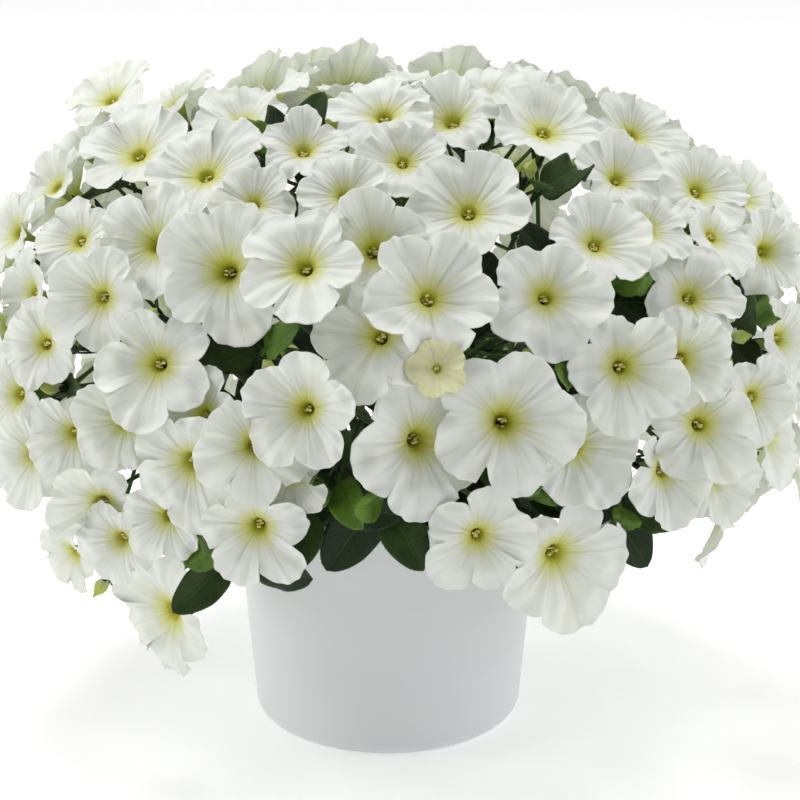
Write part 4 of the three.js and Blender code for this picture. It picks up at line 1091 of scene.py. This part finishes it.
class Look:
    """A material's node tree, written as expressions. Values, numbers and colours go in, values come out."""

    def __init__(self, name):
        self.material = bpy.data.materials.new(name)
        self.material.use_nodes = True
        self.tree = self.material.node_tree
        self.tree.nodes.clear()
        self.shader = self.node("ShaderNodeBsdfPrincipled")
        self.output = self.tree.nodes.new("ShaderNodeOutputMaterial")
        self.feed(self.output.inputs[0], self.shader)

    def feed(self, socket, value):
        if isinstance(value, Value):
            self.tree.links.new(value.socket, socket)
        elif hasattr(value, "__len__") and len(value) == 3 and socket.type == "RGBA":
            socket.default_value = (*value, 1)
        else:
            socket.default_value = value

    def node(self, kind, out=0, inputs=(), **settings):
        node = self.tree.nodes.new(kind)
        for key, value in settings.items():
            setattr(node, key, value)
        for key, value in dict(inputs).items():
            self.feed(node.inputs[key], value)
        return Value(self, node.outputs[out])

    def value(self, name, out=2):
        return self.node("ShaderNodeAttribute", out, attribute_name=name)

    def split(self, name):
        x = self.node("ShaderNodeSeparateXYZ", inputs={0: self.value(name, 1)})
        return [Value(self, socket) for socket in x.socket.node.outputs]

    def joined(self, x, y, z):
        return self.node("ShaderNodeCombineXYZ", inputs={0: x, 1: y, 2: z})

    def math(self, operation, a, b=0.0):
        return self.node("ShaderNodeMath", inputs={0: a, 1: b}, operation=operation)

    def fade(self, value, start, end, low=0.0, high=1.0):
        """Eases from low to high as a value goes from start to end."""
        inputs = {0: value, 1: start, 2: end, 3: low, 4: high}
        return self.node("ShaderNodeMapRange", inputs=inputs, interpolation_type="SMOOTHSTEP")

    def noise(self, place, scale, detail=3.0, roughness=0.55):
        inputs = {"Vector": place, "Scale": scale, "Detail": detail, "Roughness": roughness}
        return self.node("ShaderNodeTexNoise", inputs=inputs)

    def cells(self, place, scale):
        return self.node("ShaderNodeTexVoronoi", inputs={"Vector": place, "Scale": scale})

    def blend(self, share, a, b, mode="MIX"):
        inputs = {0: share, 6: a, 7: b}
        return self.node("ShaderNodeMix", 2, inputs, data_type="RGBA", blend_type=mode)

    def tint(self, tone, value, start, end, share, color):
        """Blends up to a share of a colour in, as a value goes from start to end."""
        return self.blend(self.fade(value, start, end, 0, share), tone, color)

    def ramp(self, value, *stops):
        out = self.node("ShaderNodeValToRGB", inputs={0: value})
        elements = out.socket.node.color_ramp.elements
        while len(elements) < len(stops):
            elements.new(0.5)
        for element, (place, color) in zip(elements, stops):
            element.position = place
            element.color = (*color, 1)
        return out

    def bump(self, height, distance, strength=1.0):
        inputs = {"Height": height, "Distance": distance * MM, "Strength": strength}
        return self.node("ShaderNodeBump", inputs=inputs)

    def place(self, stretch=1):
        """The point of the surface in metres, in the plant's own frame, squeezed along the upright."""
        point = self.node("ShaderNodeTexCoord", 3)
        return self.node("ShaderNodeMapping", inputs={"Vector": point, "Scale": (1, 1, stretch)})

    def let_through(self, share, color):
        """Lets a share of the light through, as thin petals and leaves do."""
        thin = self.node("ShaderNodeBsdfTranslucent", inputs={0: color})
        mixed = self.node("ShaderNodeMixShader", inputs={0: share, 1: self.shader, 2: thin})
        self.feed(self.output.inputs[0], mixed)

    def finish(self, **sockets):
        for name, value in sockets.items():
            self.feed(self.shader.socket.node.inputs[name.replace("_", " ")], value)
        return self.material


def petal_look(name, white, cream, heart):
    """Crepe-like petals: fine veins that fan out from a yellow-green throat, deeper in the tube."""
    look = Look(name)
    x, y, own = look.split("ray")
    reach, inside = look.value("reach"), look.value("inside")

    def fanned(around, outwards, scale, detail, shift=own * 30):
        """A noise that is drawn out along the rays of the corolla."""
        return look.noise(look.joined(x * around + shift, y * around, reach * outwards), scale, detail)

    streaks, fine, hue = fanned(9, 1.2, 1.0, 4), fanned(34, 3, 1.0, 3), fanned(1.5, 1, 1.6, 2)
    wander = fanned(3, 1, 2.0, 2, 0)
    from_vein = abs(look.math("FRACT", look.math("ARCTAN2", y, x) * (LOBES / TURN) + LOBES) - 0.5)
    from_vein = from_vein + (wander * 0.03 - 0.015)
    main_vein = look.fade(from_vein * reach, 0.003, 0.013, 1, 0)
    spread = from_vein / look.math("MAXIMUM", reach, 0.05) ** 0.55
    side_veins = look.fade(abs(look.math("SINE", spread * 23)), 0.0, 0.2, 1, 0)

    depth = reach + (streaks - 0.5) * -0.16 + main_vein * -0.03
    tone = look.ramp(depth, *zip((0.0, 0.05, 0.1, 0.16, 0.27, 0.44), (*heart, white)))
    tone = look.tint(tone, hue, 0.45, 0.75, 0.6, look.blend(1.0, tone, cream, "MULTIPLY"))
    veins = look.math("MAXIMUM", side_veins * 0.3, main_vein)
    tone = look.blend(veins * look.fade(reach, 0.25, 0.7, 0.22, 0.03), tone, heart[3])

    back_tone = look.ramp(
        depth, (0.0, (0.33, 0.42, 0.07)), (0.2, (0.55, 0.6, 0.2)), (0.42, (0.78, 0.8, 0.58)), (0.75, white))
    back_tone = look.blend(main_vein * 0.5, back_tone, (0.5, 0.58, 0.25))
    color = look.blend(inside, back_tone, tone)

    grain = look.noise(look.place(), 1500, 2)
    relief = streaks * 0.8 + fine * 0.3 - main_vein * 0.5 - side_veins * 0.16 + grain * 0.1
    look.let_through(0.42, look.blend(1.0, color, (0.98, 1.0, 0.88), "MULTIPLY"))
    return look.finish(
        Base_Color=color, Roughness=look.fade(fine, 0.3, 0.7, 0.52, 0.66), Normal=look.bump(relief, 0.5, 0.6),
        Sheen_Weight=0.1, Sheen_Roughness=0.5, Specular_IOR_Level=0.3)


def leaf_look():
    """Soft, hairy green: sunken veins, a paler underside and paler young leaves."""
    look = Look("leaf")
    across, along, _ = look.split("blade")
    young, upper, place = look.value("young"), look.value("upper"), look.place()
    aside = abs(across)
    middle = look.fade(aside, 0.015, 0.07, 1, 0)
    course = look.math("FRACT", aside * -VEINS.slant + along * VEINS.pairs)
    side = look.fade(abs(course - 0.5), 0.02, 0.09, 1, 0) * look.fade(aside, 0.75, 1.0, 1, 0.2)
    veins = look.math("MAXIMUM", middle, side * 0.55)
    patches, speckle = look.noise(place, 60, 4), look.noise(place, 900, 3)
    dark = look.ramp(patches, (0.3, (0.004, 0.013, 0.002)), (0.7, (0.008, 0.023, 0.003)))
    light = look.ramp(patches, (0.3, (0.035, 0.085, 0.006)), (0.7, (0.10, 0.19, 0.015)))
    tone = look.blend(look.math("MAXIMUM", young, 0.0) ** 6.0, dark, light)
    tone = look.blend(veins * 0.3, tone, (0.05, 0.11, 0.02))
    tone = look.tint(tone, speckle, 0.5, 0.8, 0.2, (0.022, 0.05, 0.010))
    tone = look.tint(tone, upper, 0.2, 0.0, 0.4, (0.05, 0.09, 0.025))
    relief = speckle * 0.35 - veins * 0.8 + look.cells(place, 700) * 0.35
    return look.finish(
        Base_Color=tone, Roughness=look.fade(speckle, 0.3, 0.7, 0.42, 0.6), Specular_IOR_Level=0.2,
        Normal=look.bump(relief, 0.5, 0.9), Subsurface_Weight=0.06, Subsurface_Radius=(0.4, 1.0, 0.2),
        Subsurface_Scale=0.001, Sheen_Weight=0.04, Sheen_Roughness=0.45, Sheen_Tint=(0.75, 0.9, 0.6, 1))


def stamen_look():
    look = Look("stamen")
    grain = look.noise(look.place(), 1800, 3)
    pollen = look.ramp(grain, (0.35, (0.62, 0.52, 0.13)), (0.65, (0.88, 0.8, 0.4)))
    tone = look.blend(look.value("stigma"), pollen, (0.34, 0.42, 0.07))
    return look.finish(Base_Color=tone, Roughness=0.75, Normal=look.bump(grain, 0.3), Specular_IOR_Level=0.3)


def pot_look():
    """Smooth moulded plastic: an even white with faint flow marks and the least orange peel."""
    look = Look("moulded_white")
    flow, peel = look.noise(look.place(3), 9, 3), look.noise(look.place(), 420, 2)
    scuffs = look.noise(look.place(9), 55, 5, 0.65)
    tone = look.ramp(flow, (0.3, (0.625, 0.642, 0.652)), (0.7, (0.655, 0.672, 0.678)))
    tone = look.tint(tone, scuffs, 0.62, 0.8, 0.2, (0.66, 0.67, 0.67))
    rough = look.fade(flow, 0.3, 0.7, 0.3, 0.36) + look.fade(scuffs, 0.55, 0.8, 0, 0.12)
    return look.finish(
        Base_Color=tone, Roughness=rough, Normal=look.bump(peel, 0.06, 0.6), Subsurface_Weight=0.08,
        Subsurface_Radius=(1.0, 1.0, 1.0), Subsurface_Scale=0.003, Specular_IOR_Level=0.45)


def soil_look():
    look = Look("potting_mix")
    crumb, place = look.value("crumb"), look.place()
    grain, patches = look.noise(place, 420, 5, 0.7), look.noise(place, 45, 3)
    tone = look.ramp(
        grain, (0.3, (0.012, 0.008, 0.005)), (0.55, (0.045, 0.027, 0.016)), (0.75, (0.10, 0.062, 0.036)))
    tone = look.tint(tone, patches, 0.4, 0.7, 0.4, (0.02, 0.012, 0.008))
    tone = look.tint(tone, crumb, 0.2, 0.5, 0.5, (0.13, 0.075, 0.04))
    tone = look.tint(tone, crumb, 0.7, 1.0, 1, (0.72, 0.7, 0.65))
    return look.finish(Base_Color=tone, Roughness=0.92, Normal=look.bump(grain, 1.2), Specular_IOR_Level=0.2)


# ---------------------------------------------------------------- the plant
# The petals' colours: the limb, a warmer tint in patches, and the throat from its depth outwards.
WHITE = ((0.89, 0.90, 0.90), (0.99, 0.965, 0.9), (
    (0.3, 0.25, 0.02), (0.48, 0.43, 0.03), (0.64, 0.59, 0.045), (0.74, 0.72, 0.16), (0.83, 0.84, 0.52)))
CREAM = ((0.85, 0.84, 0.6), (0.98, 0.93, 0.75), (
    (0.2, 0.17, 0.02), (0.4, 0.38, 0.05), (0.6, 0.6, 0.12), (0.8, 0.78, 0.3), (0.84, 0.83, 0.5)))
GREENISH = ((0.62, 0.68, 0.2), (0.9, 0.95, 0.7), (
    (0.2, 0.3, 0.03), (0.28, 0.38, 0.04), (0.36, 0.46, 0.06), (0.46, 0.55, 0.09), (0.56, 0.63, 0.14)))
# The values that the points of petals and of greens carry, with their widths.
CORONA = {"ray": 3, "reach": 1, "inside": 1}
GREEN = {"blade": 3, "upper": 1, "young": 1}

petals, cream_petals = petal_look("petal_white", *WHITE), petal_look("petal_cream", *CREAM)
furled_petals, leaf_green, pollen_yellow = petal_look("petal_furled", *GREENISH), leaf_look(), stamen_look()
make_pot(pot_look())
make_soil(soil_look())
for stem in stems:
    spray, green = "bloom_spray_" + stem.name, "leafy_stem_" + stem.name
    corollas, cream, stamens = Skin(**CORONA), Skin(**CORONA), Skin(stigma=1)
    stalks, leaves, furled = Skin(tucked, **GREEN), Skin(tucked, **GREEN), Skin(tucked, **CORONA)
    spine = stem.start + stem.along * np.linspace(-1, stem.spine, 9)[:, None]
    add_stalk(stalks, spine, np.linspace(*STALK.spine, 9), YOUNG.spine, 10)
    for corolla in stem.corollas:
        add_corolla(cream if corolla.bloom.seed == HALF_OPEN else corollas, corolla)
        add_stamens(stamens, corolla.bloom)
        add_flower_stalk(stalks, corolla.bloom, stem.along)
    corollas.piece("corollas_" + stem.name, "petals", petals, spray)
    if cream.count:
        cream.piece("half_open_corolla", "petals", cream_petals, spray)
    stamens.piece("stamens_" + stem.name, "petals", pollen_yellow, spray)
    stalks.piece("flower_stalks_" + stem.name, "foliage", leaf_green, spray)
    add_greens(leaves, furled, stem)
    leaves.piece("leafy_growth_" + stem.name, "foliage", leaf_green, green)
    if furled.count:
        furled.piece("buds_" + stem.name, "foliage", furled_petals, green)


# ---------------------------------------------------------------- floor, light and camera
FLOOR = Record(half=6.0, glow=0.3)
SENSOR = 36
SKY = 0.57


def make_floor():
    corners = [(x * FLOOR.half, y * FLOOR.half, 0) for x, y in ((-1, -1), (1, -1), (1, 1), (-1, 1))]
    mesh = bpy.data.meshes.new("floor")
    mesh.from_pydata(corners, [], [(0, 1, 2, 3)])
    look = Look("floor")
    mottle = look.noise(look.place(), 30, 2)
    tone = look.ramp(mottle, (0.3, (0.90, 0.90, 0.90)), (0.7, (0.93, 0.93, 0.93)))
    mesh.materials.append(look.finish(
        Base_Color=tone, Roughness=0.9, Specular_IOR_Level=0.1, Emission_Color=(1, 1, 1, 1),
        Emission_Strength=FLOOR.glow))
    floor = new_object("floor", mesh)


def aim(thing, place, way):
    thing.location = place
    thing.rotation_euler = way.to_track_quat("-Z", "Y").to_euler()


def make_light(name, place, target, size, power, color=(1, 1, 1)):
    lamp = bpy.data.lights.new(name, "AREA")
    lamp.shape, lamp.size, lamp.energy, lamp.color = "DISK", size, power, color
    aim(new_object(name, lamp), place, Vector(target) - Vector(place))


def make_camera():
    data = bpy.data.cameras.new("camera")
    data.sensor_width = SENSOR
    data.lens = SENSOR * VIEW.focal / (2 * VIEW.centre)
    data.clip_start, data.clip_end = 0.05, 50
    bpy.context.scene.camera = new_object("camera", data)
    aim(bpy.context.scene.camera, CAMERA * MM, Vector(-TO_CAMERA))


world = bpy.data.worlds.new("studio")
bpy.context.scene.world = world
world.use_nodes = True
world.node_tree.nodes["Background"].inputs["Color"].default_value = (1, 1, 1, 1)
world.node_tree.nodes["Background"].inputs["Strength"].default_value = SKY
bpy.context.scene.view_settings.view_transform = "Standard"
make_floor()
make_light("top", (-0.35, 0.5, 2.4), (0, 0, 0.25), 1.3, 36)
make_light("left", (-2.0, -0.3, 0.9), (0, 0, 0.2), 1.2, 14)
make_light("right", (2.0, -0.1, 1.0), (0, 0, 0.2), 1.2, 14, (0.95, 0.97, 1))
make_camera()
